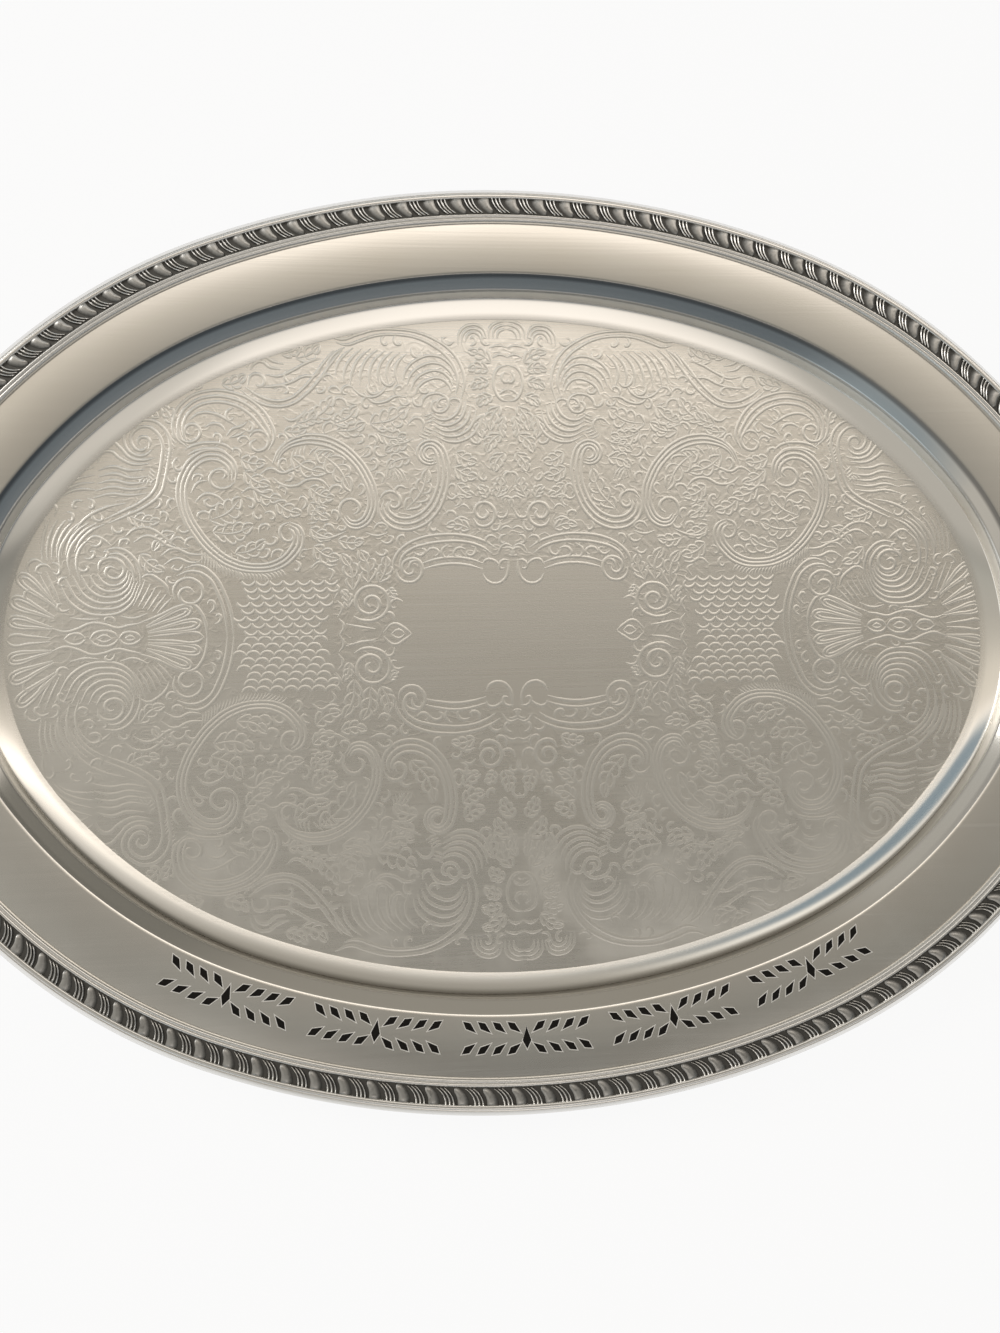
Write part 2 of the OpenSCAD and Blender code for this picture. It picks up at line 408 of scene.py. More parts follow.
class Nodes:
    """A node tree that is written as expressions"""

    def __init__(self, tree):
        self.tree = tree
        tree.nodes.clear()

    def node(self, kind, settings=None, sockets=None, output=0):
        """Adds a node: its settings first, then its sockets; returns one of its outputs"""
        made = self.tree.nodes.new(kind)
        for name, value in (settings or {}).items():
            if name == "stops":
                ramp = made.color_ramp.elements
                while len(ramp) < len(value):
                    ramp.new(1.0)
                for element, (place, colour) in zip(ramp, value):
                    element.position = place
                    element.color = (*colour, 1.0)
            else:
                setattr(made, name, value)
        for name, value in (sockets or {}).items():
            feed(self.tree, made.inputs[name], value)
        return Field(self.tree, made.outputs[output]) if made.outputs else None

    def split(self, vector):
        parts = self.node("ShaderNodeSeparateXYZ", sockets={"Vector": vector})
        outputs = parts.socket.node.outputs
        return [Field(self.tree, socket) for socket in outputs]

    def coordinates(self):
        return self.node("ShaderNodeTexCoord", output="Object")

    def stretched(self, vector, scale, turn=0.0):
        return self.node("ShaderNodeMapping", sockets={
            "Vector": vector, "Scale": scale, "Rotation": (0.0, 0.0, turn)})

    def noise(self, vector, scale, detail=2.0, roughness=0.5):
        return self.node("ShaderNodeTexNoise", sockets={
            "Vector": vector, "Scale": scale, "Detail": detail, "Roughness": roughness})

    def rise(self, value, low, high):
        """0 below low, 1 above high, smooth between"""
        return self.node("ShaderNodeMapRange", {"interpolation_type": "SMOOTHSTEP"}, {
            "Value": value, "From Min": low, "From Max": high})

    def band(self, value, low, full, fade, high):
        """0 below low and above high, 1 between full and fade, smooth in between"""
        return self.rise(value, low, full) * (1.0 - self.rise(value, fade, high))

    def mix(self, share, first, second):
        """A colour between two others; the numbers are the places of the colour sockets"""
        return self.node("ShaderNodeMix", {"data_type": "RGBA"}, {0: share, 6: first, 7: second}, 2)

    def tints(self, colour, *layers):
        """Lays tints over a colour, one after the other, each with its share"""
        for share, tint in layers:
            colour = self.mix(share, colour, tint)
        return colour

    def bump(self, height, strength, distance):
        return self.node("ShaderNodeBump", sockets={
            "Height": height, "Strength": strength, "Distance": distance})

    def surface(self, **sockets):
        """A principled surface whose sockets are named in lower case, and the tree's output"""
        titled = {name.replace("_", " ").title(): value for name, value in sockets.items()}
        named = {name.replace("Ior", "IOR"): value for name, value in titled.items()}
        shader = self.node("ShaderNodeBsdfPrincipled", sockets=named)
        self.node("ShaderNodeOutputMaterial", sockets={"Surface": shader})


def new_material(name):
    material = bpy.data.materials.new(name)
    material.use_nodes = True
    return material, Nodes(material.node_tree)


def plate_finish(colours, marks):
    """Satin silver plate: brushed and scratched on floor and rim, polished on the wall between them, with
    painted shade and a painted highlight on the wall
    """
    material, nodes = new_material("silver_plate")
    place = nodes.coordinates()
    x, y, z = nodes.split(place)
    floor, step, rim = marks.floor, marks.step_z, marks.rim_z
    front = 1.0 - nodes.rise(y, -100.0 * MM, 10.0 * MM)
    back = 1.0 - front
    on_rim = nodes.rise(z, rim - 1.6 * MM, rim - 1.1 * MM)
    on_wall = nodes.rise(z, floor + 0.25 * MM, floor + 1.2 * MM) * (1.0 - on_rim)
    off_wall = 1.0 - on_wall
    # Band of the wall's turn, darkened at the front as painted shade
    corner = nodes.band(z, floor + 2.2 * MM, floor + 3.5 * MM, step - 1.9 * MM, step + 1.2 * MM)
    upright = nodes.band(z, floor + 3.8 * MM, floor + 4.4 * MM, step - 0.6 * MM, step + 0.6 * MM)
    # Band at the step's foot, darkened at the back as painted shade
    step_foot_shade = nodes.band(z, step - 0.8 * MM, step - 0.3 * MM, step + 0.3 * MM, step + 0.9 * MM)
    # Band under the crest, darkened at the back as painted shade
    under_crest_shade = nodes.band(z, rim - 2.6 * MM, rim - 1.7 * MM, rim - 1.28 * MM, rim - 1.12 * MM)
    brushing = nodes.noise(nodes.stretched(place, (10.0, 1300.0, 60.0)), 1.0, 3.0, 0.6)
    tarnish = nodes.rise(nodes.noise(place, 11.0, 3.0), 0.42, 0.7)
    haze = nodes.rise(nodes.noise(place, 26.0, 4.0, 0.6), 0.42, 0.66) * front * off_wall
    scratch = nodes.noise(nodes.stretched(place, (9.0, 420.0, 9.0), 0.12), 1.0, 2.0)
    scratch = nodes.rise(scratch, 0.66, 0.74) * (0.35 + 0.65 * front) * off_wall
    colour = nodes.tints(
        colours.plate,
        (tarnish * 0.35, TARNISHED),
        (haze * 0.35, HAZY),
        (scratch * 0.3, SCRATCHED),
        # Painted shade in the front corner of the wall
        (corner * front * 0.8, FRONT_CORNER_SHADE),
        # Painted highlight on the back wall
        (on_wall * back * 0.6, BACK_WALL_HIGHLIGHT),
        # Painted shade at the back step's foot
        (step_foot_shade * back * 0.6, BACK_STEP_SHADE),
        # Painted shade under the back crest
        (under_crest_shade * back * 0.8, BACK_CREST_SHADE))
    satin = 0.27 - 0.08 * on_rim + 0.12 * (brushing - 0.5) + 0.12 * haze * (1.0 - on_rim)
    polish = 0.13 + 0.25 * upright
    curls = curled_ground(nodes, place, x, y) * (0.45 + 0.55 * nodes.rise(y, -70.0 * MM, 30.0 * MM))
    height = (brushing * 0.25 + scratch * 0.2) * off_wall + curls
    nodes.surface(base_color=colour, metallic=1.0, roughness=satin * off_wall + polish * on_wall,
                  normal=nodes.bump(height, 0.22, 0.12 * MM))
    return material


def curled_ground(nodes, place, x, y):
    """Height of the fine curls between the chased lines, none in the blank middle and on the scales"""
    curl = nodes.node("ShaderNodeTexNoise", sockets={
        "Vector": place, "Scale": 240.0, "Detail": 1.0, "Roughness": 0.4, "Distortion": 0.8})
    ridge = 1.0 - nodes.rise(abs(curl - 0.5), 0.0, 0.11)
    along = abs(x - PATTERN.x)
    across = abs(y - PATTERN.y)

    def outwards(middle, half, power):
        """Grows from 0 in the middle of a rounded shape to 1 on its edge and more outside"""
        return ((along - middle) * (1.0 / half.x)) ** power + (across * (1.0 / half.y)) ** power

    inside = 1.0 - nodes.rise(outwards(0.0, GROUND_HALF, 2.0), 0.86, 1.0)
    off_blank = nodes.rise(outwards(0.0, BLANK_HALF, 4.0), 0.9, 1.6)
    off_panel = nodes.rise(outwards(PANEL_MIDDLE, PANEL_HALF, 4.0), 0.9, 1.3)
    return ridge * inside * off_blank * off_panel


def cast_finish(name, colour, dark, low, high, roughness, worn):
    """Cast silver that is dark in its hollows, below low, and clean above high, with worn spots"""
    material, nodes = new_material(name)
    place = nodes.coordinates()
    height = nodes.split(place)[2]
    mottle = nodes.noise(place, 520.0, 3.0, 0.6)
    clean = nodes.rise(height + (mottle - 0.5) * (0.5 * MM), low, high)
    tone = nodes.mix(clean, dark, colour)
    tone = nodes.mix(nodes.rise(mottle, 0.5, 0.75) * worn, tone, dark)
    nodes.surface(base_color=tone, metallic=1.0, roughness=roughness + 0.25 * (1.0 - clean),
                  normal=nodes.bump(mottle, 0.5 * worn, 0.1 * MM))
    return material


def filling_finish(colours):
    """Black cold enamel, satin, with a faint grain"""
    material, nodes = new_material("black_enamel")
    grain = nodes.noise(nodes.coordinates(), 1400.0, 2.0)
    tone = nodes.mix(nodes.rise(grain, 0.55, 0.8) * 0.5, colours.filling, (0.02, 0.017, 0.014))
    nodes.surface(base_color=tone, roughness=0.45 + 0.2 * (grain - 0.5), specular_ior_level=0.2,
                  normal=nodes.bump(grain, 0.1, 0.05 * MM))
    return material


def edge_glint_finish():
    """Painted glint of a cut stroke's edge: pale silver, only partly metallic, so that it stays bright"""
    material, nodes = new_material("cut_edge_glint")
    grain = nodes.noise(nodes.coordinates(), 900.0, 2.0)
    tone = nodes.mix(grain * 0.2, (0.9, 0.89, 0.87), (0.95, 0.94, 0.91))
    nodes.surface(base_color=tone, metallic=0.45, roughness=0.4 + 0.1 * (grain - 0.5))
    return material


def new_piece(name, bm, sharp=math.radians(38)):
    """Makes an object of a bmesh, smooth but for its sharp edges"""
    mesh = bpy.data.meshes.new(name)
    bm.to_mesh(mesh)
    bm.free()
    mesh.shade_smooth()
    mesh.set_sharp_from_angle(angle=sharp)
    piece = bpy.data.objects.new(name, mesh)
    bpy.context.scene.collection.objects.link(piece)
    return piece


def dress(piece, slot, *materials):
    """Gives a piece its materials and its place among the bodies"""
    for material in materials:
        piece.data.materials.append(material)
    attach(piece, BODY)
    return piece


def bow(centre, radius, start, end, steps):
    """Section points on an arc; an angle of 0 looks outwards and of 90 degrees up"""
    points = []
    for step in range(steps + 1):
        angle = math.radians(start + (end - start) * step / steps)
        points.append((centre[0] - radius * math.cos(angle), centre[1] + radius * math.sin(angle)))
    return points


def sweep(bm, section, arcs, closed):
    """Carries a section of insets and heights round some arcs of the oval"""
    first = arcs[0]
    ring = [bm.verts.new(first.point(first.start, inset) + UP * height) for inset, height in section]
    pairs = list(zip(ring, ring[1:] + ring[:1]))
    if not closed:
        pairs.pop()
    geometry = ring + [bm.edges.new(pair) for pair in pairs]
    step = 2.4 * MM
    for arc in arcs:
        spun = bmesh.ops.spin(
            bm, geom=geometry, cent=(arc.centre.x, arc.centre.y, 0.0), axis=UP, angle=arc.turn,
            steps=max(2, round(arc.length(0.0) / step)), use_merge=False, use_duplicate=False)
        geometry = spun["geom_last"]
    return geometry


def close_up(bm):
    """Merges doubles, fills open loops and turns faces outwards"""
    bmesh.ops.remove_doubles(bm, verts=bm.verts, dist=MERGE)
    open_edges = [edge for edge in bm.edges if edge.is_boundary]
    if open_edges:
        bmesh.ops.edgeloop_fill(bm, edges=open_edges)
    bmesh.ops.recalc_face_normals(bm, faces=bm.faces)


def lean(turn):
    """Normal of a surface that rises outwards at a slope, as inset and height"""
    return Vector((math.sin(turn), math.cos(turn)))


def body_section(shape, marks):
    """Section of the sheet from the floor over the wall and rim, and back along its underside"""
    sheet = shape.sheet
    inner = marks.floor_edge + FLOOR_RING
    spread = math.sin(shape.flank_turn) - math.sin(shape.foot_turn)
    corner_width = shape.corner * (1.0 - math.sin(shape.flank_turn))
    flank_radius = (shape.flank - shape.foot * math.sin(shape.foot_turn) - corner_width) / spread
    foot_middle = Vector((marks.floor_edge, marks.floor + shape.foot))
    flank_middle = foot_middle + (flank_radius - shape.foot) * lean(shape.foot_turn)
    corner_middle = flank_middle - (flank_radius - shape.corner) * lean(shape.flank_turn)
    low, mid, top = -90, math.degrees(shape.foot_turn) - 90, math.degrees(shape.flank_turn) - 90
    points = [(inner, marks.floor)]
    points += bow(foot_middle, shape.foot, low, mid, 4)
    points += bow(flank_middle, flank_radius, mid, top, 8)[1:]
    points += bow(corner_middle, shape.corner, top, 0, 6)[1:]
    points += step_section(shape, marks)
    rim_start = points[-1][0]
    rim_steps = 6
    for step in range(1, rim_steps + 1):
        inset = rim_start + (marks.border - rim_start) * step / rim_steps
        points.append((inset, marks.rim_z - marks.fall(inset)))
    edge = shape.lip / 2 + EDGE_GAP
    points += [(edge, marks.rim_z), (edge, marks.rim_z - sheet), (marks.border, marks.rim_z - sheet)]
    points.append((marks.crest - CREST_SETBACK * sheet, marks.rim_z - shape.rim_fall - sheet))
    points.append((marks.wall - sheet, marks.step_z - STEP_SETBACK * sheet))
    points += bow(corner_middle, shape.corner + sheet, 0, top, 3)[:-1]
    points += bow(flank_middle, flank_radius + sheet, top, mid, 4)[:-1]
    points += bow(foot_middle, shape.foot + sheet, mid, low, 4)
    points.append((inner, 0.0))
    return points


def step_section(shape, marks):
    """The rounded step from the top of the upright wall to the crest, and the roll into the rim"""
    rim_turn = math.atan(2 * shape.rim_fall / shape.rim_width)
    rim_start = Vector((marks.crest - ROLL_START, 0.0))
    rim_start.y = marks.rim_z - marks.fall(rim_start.x)
    roll_middle = rim_start - shape.crest * lean(rim_turn)
    edge_middle = roll_middle + (shape.crest - shape.crest_edge) * lean(shape.roll_turn)
    crest_foot = edge_middle + shape.crest_edge * lean(shape.crest_turn)
    foot = Vector((marks.wall, marks.step_z))
    chord = crest_foot - foot
    slope = math.atan2(chord.y, -chord.x)
    half_turn = slope - shape.crest_turn
    radius = chord.length / 2 / math.sin(half_turn)
    middle = foot.lerp(crest_foot, 0.5) - radius * math.cos(half_turn) * lean(slope)
    start, top, roll, flat = (
        90 + math.degrees(turn) for turn in (slope + half_turn, shape.crest_turn, shape.roll_turn, rim_turn))
    points = bow(middle, radius, start, top, 6)
    points += bow(edge_middle, shape.crest_edge, top, roll, 3)[1:]
    points += bow(roll_middle, shape.crest, roll, flat, 6)[1:]
    return points


def node_copy(name):
    """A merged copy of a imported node's triangles"""
    bm = bmesh.new()
    bm.from_mesh(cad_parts[name].data)
    bmesh.ops.remove_doubles(bm, verts=bm.verts, dist=MERGE)
    return bm


def islands(bm):
    """Groups of vertices that hang together"""
    left = set(bm.verts)
    groups = []
    for start in bm.verts:
        if start not in left:
            continue
        left.remove(start)
        group = []
        reach = [start]
        while reach:
            vert = reach.pop()
            group.append(vert)
            for edge in vert.link_edges:
                other = edge.other_vert(vert)
                if other in left:
                    left.remove(other)
                    reach.append(other)
        groups.append(group)
    return groups


def grow(group, amount):
    """Moves the corners of one stroke outwards in plan by about an amount"""
    middle = sum((vert.co for vert in group), Vector()) / len(group)
    for vert in group:
        out = vert.co - middle
        out.z = 0.0
        vert.co += out.normalized() * amount


def cut(piece, cutter):
    """Takes a cutter's solid out of a piece"""
    modifier = piece.modifiers.new("slots", "BOOLEAN")
    modifier.object = cutter
    modifier.operation = "DIFFERENCE"
    modifier.solver = "EXACT"
    evaluated = piece.evaluated_get(bpy.context.evaluated_depsgraph_get())
    mesh = bpy.data.meshes.new_from_object(evaluated)
    piece.modifiers.clear()
    used_up = (piece.data, cutter.data)
    piece.data = mesh
    bpy.data.objects.remove(cutter)
    for old in used_up:
        bpy.data.meshes.remove(old)


class SERVING_TRAY_OT_body(bpy.types.Operator):
    """Models the sheet of the tray with its slots for the inlay"""

    bl_idname = "serving_tray.body"
    bl_label = "Tray body"

    def execute(self, context):
        shape = context.scene.tray_shape
        marks = Stations(shape)
        bm = bmesh.new()
        sweep(bm, body_section(shape, marks), OVAL.arcs, closed=False)
        close_up(bm)
        for vert in bm.verts:
            vert.co.y += marks.shift(vert.co, OVAL.inset_of(vert.co))
        sharp = math.radians(30)
        piece = new_piece("tray_sheet", bm, sharp)
        cutters = bmesh.new()
        for name in INLAYS:
            strokes = node_copy(name)
            for group in islands(strokes):
                grow(group, SLOT_PLAY)
                for vert in group:
                    vert.co.z += math.copysign(SLOT_REACH, vert.co.z - marks.rim_z + shape.sheet / 2)
            mesh = bpy.data.meshes.new("slots")
            strokes.to_mesh(mesh)
            strokes.free()
            cutters.from_mesh(mesh)
            bpy.data.meshes.remove(mesh)
        cut(piece, new_piece("slot_cutter", cutters))
        piece.data.set_sharp_from_angle(angle=sharp)
        dress(piece, "silver_plate", plate_finish(context.scene.tray_colours, marks))
        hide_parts("tray_body")
        return {"FINISHED"}


class SERVING_TRAY_OT_inlay(bpy.types.Operator):
    """Models the black fillings and the bright edges of their slots"""

    bl_idname = "serving_tray.inlay"
    bl_label = "Rim inlay"

    def execute(self, context):
        marks = Stations(context.scene.tray_shape)
        enamel = filling_finish(context.scene.tray_colours)
        # Painted highlight: the raised rings round the strokes carry a pale tint that stands for the glint of
        # their cut edges
        bright = edge_glint_finish()
        for name in INLAYS:
            strokes = node_copy(name)
            for vert in strokes.verts:
                vert.co.z -= marks.fall(OVAL.inset_of(vert.co))
            edges = strokes.copy()
            fill = dress(new_piece(name.replace("inlay", "filling"), strokes), "black_filling", enamel)
            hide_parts(name)
            self.edge_rings(edges, marks)
            dress(new_piece(name.replace("inlay", "cut_edge_glint"), edges), "silver_plate", bright)
        return {"FINISHED"}

    def edge_rings(self, bm, marks):
        """Leaves a low raised ring round each stroke"""
        low = [face for face in bm.faces if face.normal.z < 0.5]
        bmesh.ops.delete(bm, geom=low, context="FACES")
        for group in islands(bm):
            grow(group, CUT_EDGE_OUT)
        tops = list(bm.faces)
        rings = bmesh.ops.inset_region(
            bm, faces=tops, thickness=CUT_EDGE_WIDTH, use_boundary=True, use_even_offset=True)
        bmesh.ops.delete(bm, geom=tops, context="FACES")
        for vert in bm.verts:
            vert.co.z = marks.rim_z - marks.fall(OVAL.inset_of(vert.co)) - CUT_EDGE_SUNK
        raised = bmesh.ops.extrude_face_region(bm, geom=rings["faces"])
        for vert in raised["geom"]:
            if isinstance(vert, bmesh.types.BMVert):
                vert.co.z += CUT_EDGE_HEIGHT
        bmesh.ops.recalc_face_normals(bm, faces=bm.faces)


def border_section(shape, marks):
    """Section of the casting: slope and bead of the lip, bed of the lobes, two reeds and the underside"""
    edge = 0.16 * shape.lip
    bead = 0.16 * shape.lip
    flat = 0.13 * shape.lip
    run = 0.38 * shape.lip
    slope = 34
    rise = run * math.tan(math.radians(slope))
    points = [(shape.lip / 2, marks.rim_z), (shape.lip / 2, marks.rim_z - edge)]
    points += bow((edge, marks.rim_z), edge, -80, 90 - slope, 6)
    slope_end = Vector(points[-1]) + Vector((run, rise))
    groove = slope_end + Vector((0.1, -0.25)) * bead
    points += [tuple(slope_end), tuple(groove)]
    top = marks.rim_z + shape.lip_rise + 0.45 * bead
    points += bow((shape.lip - bead - flat, top), bead, 0, 90, 4)
    points += bow((shape.lip - bead, top), bead, 90, 180, 4)
    points.append((shape.lip, marks.bed_z))
    points.append((shape.lip + shape.band, marks.bed_z))
    for station in (marks.reed_1, marks.reed_2):
        points += bow((station, marks.bed_z - shape.reed / 10), shape.reed, 20, 160, 6)
    points.append((marks.reed_2 + shape.reed, marks.rim_z))
    return points


def bent_bar(shape, marks, half_width, rise, tilt, taper, index):
    """One lobe or rib: a tapered ball drawn out inwards from under the lip, bent and raised clockwise"""
    bm = bmesh.new()
    bmesh.ops.create_uvsphere(bm, u_segments=10, v_segments=10, radius=1.0)
    under_lip = 0.5 * MM
    sunk = 0.15 * MM
    bluntness = 8
    full_bend = math.asin(0.9 * (shape.band + 2 * under_lip) / shape.bend)
    for vert in bm.verts:
        across, up, along = vert.co
        girth = math.hypot(across, up)
        swell = math.sqrt(1.0 - min(1.0, abs(along)) ** bluntness) / girth if girth > 1e-6 else 0.0
        across *= swell
        up *= swell
        share = (1.0 + along) / 2
        reach = shape.bend + across * half_width * (1.0 - taper * share)
        vert.co.x = under_lip - shape.lip - reach * math.sin(full_bend * share)
        vert.co.y = reach * math.cos(full_bend * share) - shape.bend
        vert.co.z = marks.bed_z + rise * ((1.0 - tilt) * up - tilt * across) - sunk
    bmesh.ops.recalc_face_normals(bm, faces=bm.faces)
    for face in bm.faces:
        face.material_index = index
        face.smooth = True
    mesh = bpy.data.meshes.new("bar")
    bm.to_mesh(mesh)
    bm.free()
    return mesh


class SERVING_TRAY_OT_border(bpy.types.Operator):
    """Models the four castings of the gadroon border"""

    bl_idname = "serving_tray.border"
    bl_label = "Gadroon border"

    def execute(self, context):
        shape = context.scene.tray_shape
        colours = context.scene.tray_colours
        marks = Stations(shape)
        bed = marks.bed_z
        # Colour above and dark below two heights in mm over the bed, then roughness and wear
        finishes = [
            cast_finish(name, colour, dark, bed + low * MM, bed + high * MM, roughness, worn)
            for name, colour, dark, low, high, roughness, worn in (
                ("cast_plate", colours.cast, colours.lobe, -6.0, -5.0, 0.24, 0.04),
                ("cast_lobes", colours.lobe, colours.recess, 0.1, 0.9, 0.3, 0.5),
                ("cast_ribs", colours.cast, colours.recess, 0.1, 0.42, 0.2, 0.15),
                ("cast_bed", colours.lobe, colours.recess, 0.2, 0.9, 0.35, 0.3))]
        band_middle = shape.lip + shape.band / 2
        pitch = OVAL.length(band_middle) / (len(BORDERS) * shape.units)
        rib_pitch = (pitch - 2 * shape.lobe) / (shape.ribs + RIB_SPARE)
        lobe = bent_bar(shape, marks, shape.lobe, rise=1.35 * MM, tilt=0.38, taper=0.6, index=CAST_LOBES)
        rib = bent_bar(shape, marks, shape.rib, rise=0.95 * MM, tilt=0.0, taper=0.45, index=CAST_RIBS)
        bars = [(lobe, 0.0)]
        for index in range(1, shape.ribs + 1):
            bars.append((rib, -shape.lobe - (index - RIB_SHIFT) * rib_pitch))
        for quarter, name in enumerate(BORDERS):
            bm = bmesh.new()
            sweep(bm, border_section(shape, marks), OVAL.quarter(quarter), closed=True)
            close_up(bm)
            for face in bm.faces:
                on_bed = all(abs(vert.co.z - bed) < MERGE for vert in face.verts)
                face.material_index = CAST_BED if on_bed else CAST_PLATE
            for unit in range(shape.units):
                distance = (quarter * shape.units + unit + FIRST_LOBE) * pitch
                arc, angle = OVAL.at(distance, band_middle)
                place = Matrix.Translation(arc.point(angle, 0.0)) @ Matrix.Rotation(angle, 4, "Z")
                for bar, shift in bars:
                    copy = bar.copy()
                    copy.transform(place @ Matrix.Translation((0.0, shift, 0.0)))
                    bm.from_mesh(copy)
                    bpy.data.meshes.remove(copy)
            piece = new_piece("gadroon_" + name.removeprefix("border_"), bm)
            dress(piece, "cast_border", *finishes)
            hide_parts(name)
        for bar in (lobe, rib):
            bpy.data.meshes.remove(bar)
        return {"FINISHED"}


def walk(path, share):
    """The point at a share of a path's length"""
    points = [Vector(point) for point in path]
    lengths = [(after - before).length for before, after in zip(points, points[1:])]
    left = share * sum(lengths)
    for before, after, length in zip(points, points[1:], lengths):
        if left <= length:
            return before.lerp(after, left / length)
        left -= length
    return points[-1]


class Chasing:
    """Chased lines of a quarter of the floor, in mm from the pattern's middle to one end and to the back"""

    def __init__(self):
        self.strokes = []

    def line(self, points, width=0.55, taper=0.35):
        """One raised line; its ends narrow to a share of its half width"""
        self.strokes.append(([Vector(point) for point in points], width, taper))

    def lines(self, *paths, width=0.5):
        """Some raised lines of one width"""
        for path in paths:
            self.line(path, width)

    def blend(self, first, second, count, width=0.5):
        """Lines at even steps from a first to a second one with as many points"""
        for index in range(count):
            share = index / (count - 1)
            self.line([Vector(a).lerp(Vector(b), share) for a, b in zip(first, second, strict=True)], width)

    def petal(self, base, tip, width, inner=0.5):
        """A drop-shaped outline that is round at its tip, with a smaller one inside"""
        base, tip = Vector(base), Vector(tip)
        axis = tip - base
        side = Vector((-axis.y, axis.x)).normalized() * width / 2
        outline = ((0.0, 0.2), (0.4, 0.6), (0.78, 1.0), (0.95, 0.7), (1.0, 0.0))
        for size in (1.0, inner):
            reach = axis * (0.82 + 0.18 * size)
            spread = side * size
            half = [base + reach * along + spread * across for along, across in outline]
            other = [base + reach * along - spread * across for along, across in outline]
            self.line(half + other[-2::-1], 0.45)

    def leaf(self, base, tip, width, lobes=3, bend=0.12):
        """A bent rib with hooked lobes on both sides"""
        base, tip = Vector(base), Vector(tip)
        axis = tip - base
        side = Vector((-axis.y, axis.x)) / axis.length

        def at(along, across):
            girth = width / 2 * math.sin(math.pi * (0.12 + 0.86 * along))
            sway = bend * axis.length * math.sin(math.pi * along)
            return base + axis * along + side * (across * girth + sway)

        for hand in (1, -1):
            for lobe in range(lobes):
                place = [(lobe + along) / (lobes + 0.3) for along in (0.0, 0.35, 0.95, 1.2)]
                self.line([at(a, b * hand) for a, b in zip(place, (0.1, 0.75, 1.0, 0.6))], 0.45)
        self.line([at(0.0, 0.0), at(0.5, 0.0), at(0.9, 0.0)], 0.42)

    def hatch(self, path, reach, slant, count, width=0.36):
        """Short lines side by side along a path, each slanting along it"""
        nearby = 0.02
        for index in range(count):
            share = (index + 0.5) / count
            foot = walk(path, share)
            along = walk(path, min(1.0, share + nearby)) - walk(path, max(0.0, share - nearby))
            along.normalize()
            out = Vector((-along.y, along.x)) * reach
            self.line([foot, foot + 0.55 * out + 0.35 * slant * along, foot + out + slant * along], width)

    def curls(self, others, spacing):
        """Small hooked curls on a staggered grid, wherever the other lines leave room"""
        places = [point.lerp(after, share) for stroke, _, _ in others.strokes
                  for point, after in zip(stroke, stroke[1:]) for share in (0.0, 0.33, 0.67)]
        near = KDTree(len(places))
        for index, place in enumerate(places):
            near.insert(place.to_3d(), index)
        near.balance()
        hook = ((-1.5, -0.9), (-0.9, 0.5), (0.5, 0.9), (1.4, 0.1), (0.7, -0.7))
        low, high = CURLS_PANEL_LOW, CURLS_PANEL_HIGH
        for row in range(math.ceil(CURLS_OVAL.y / spacing)):
            for column in range(math.ceil(CURLS_OVAL.x / spacing)):
                middle = Vector((spacing * (column + 0.25 + 0.5 * (row % 2)), spacing * (row + 0.4)))
                oval = (middle.x / CURLS_OVAL.x) ** 2 + (middle.y / CURLS_OVAL.y) ** 2
                blank = middle.x < CURLS_BLANK.x and middle.y < CURLS_BLANK.y
                panel = low.x < middle.x < high.x and low.y < middle.y < high.y
                room = near.find(middle.to_3d())[2]
                if oval > 1.0 or blank or panel or room < CURLS_ROOM * spacing:
                    continue
                turn = Matrix.Rotation(1.9 * math.sin(0.13 * middle.x) + 2.3 * math.cos(0.11 * middle.y), 2)
                hand = 1 if (row + column) % 3 else -1
                size = spacing * (0.3 + 0.05 * math.sin(1.7 * middle.x + middle.y))
                self.line([middle + size * (turn @ Vector((a, hand * b))) for a, b in hook], 0.48)

    def curve(self, name, relief):
        """A curve object of all the lines, swept by a low ridge"""
        ridge = bpy.data.curves.new("ridge", "CURVE")
        profile = ridge.splines.new("POLY")
        outline = ((-1.0, -0.12), (-0.55, 0.62), (0.0, 1.0), (0.55, 0.62), (1.0, -0.12))
        profile.points.add(len(outline) - 1)
        for point, (across, up) in zip(profile.points, outline):
            point.co = (across, up * relief, 0.0, 1.0)
        data = bpy.data.curves.new(name, "CURVE")
        data.dimensions = "3D"
        data.twist_mode = "Z_UP"
        data.bevel_mode = "OBJECT"
        data.bevel_object = bpy.data.objects.new("ridge", ridge)
        for points, width, taper in self.strokes:
            spline = data.splines.new("BEZIER")
            last = len(points) - 1
            spline.bezier_points.add(last)
            length = sum((after - before).length for before, after in zip(points, points[1:]))
            spline.resolution_u = max(2, min(8, round(length / last / STROKE_STEP)))
            for index, (made, point) in enumerate(zip(spline.bezier_points, points)):
                made.co = (point.x * MM, point.y * MM, 0.0)
                made.handle_left_type = "AUTO"
                made.handle_right_type = "AUTO"
                made.radius = STROKE_SPREAD * width * MM * (taper if index in (0, last) else 1.0)
        return bpy.data.objects.new(name, data)

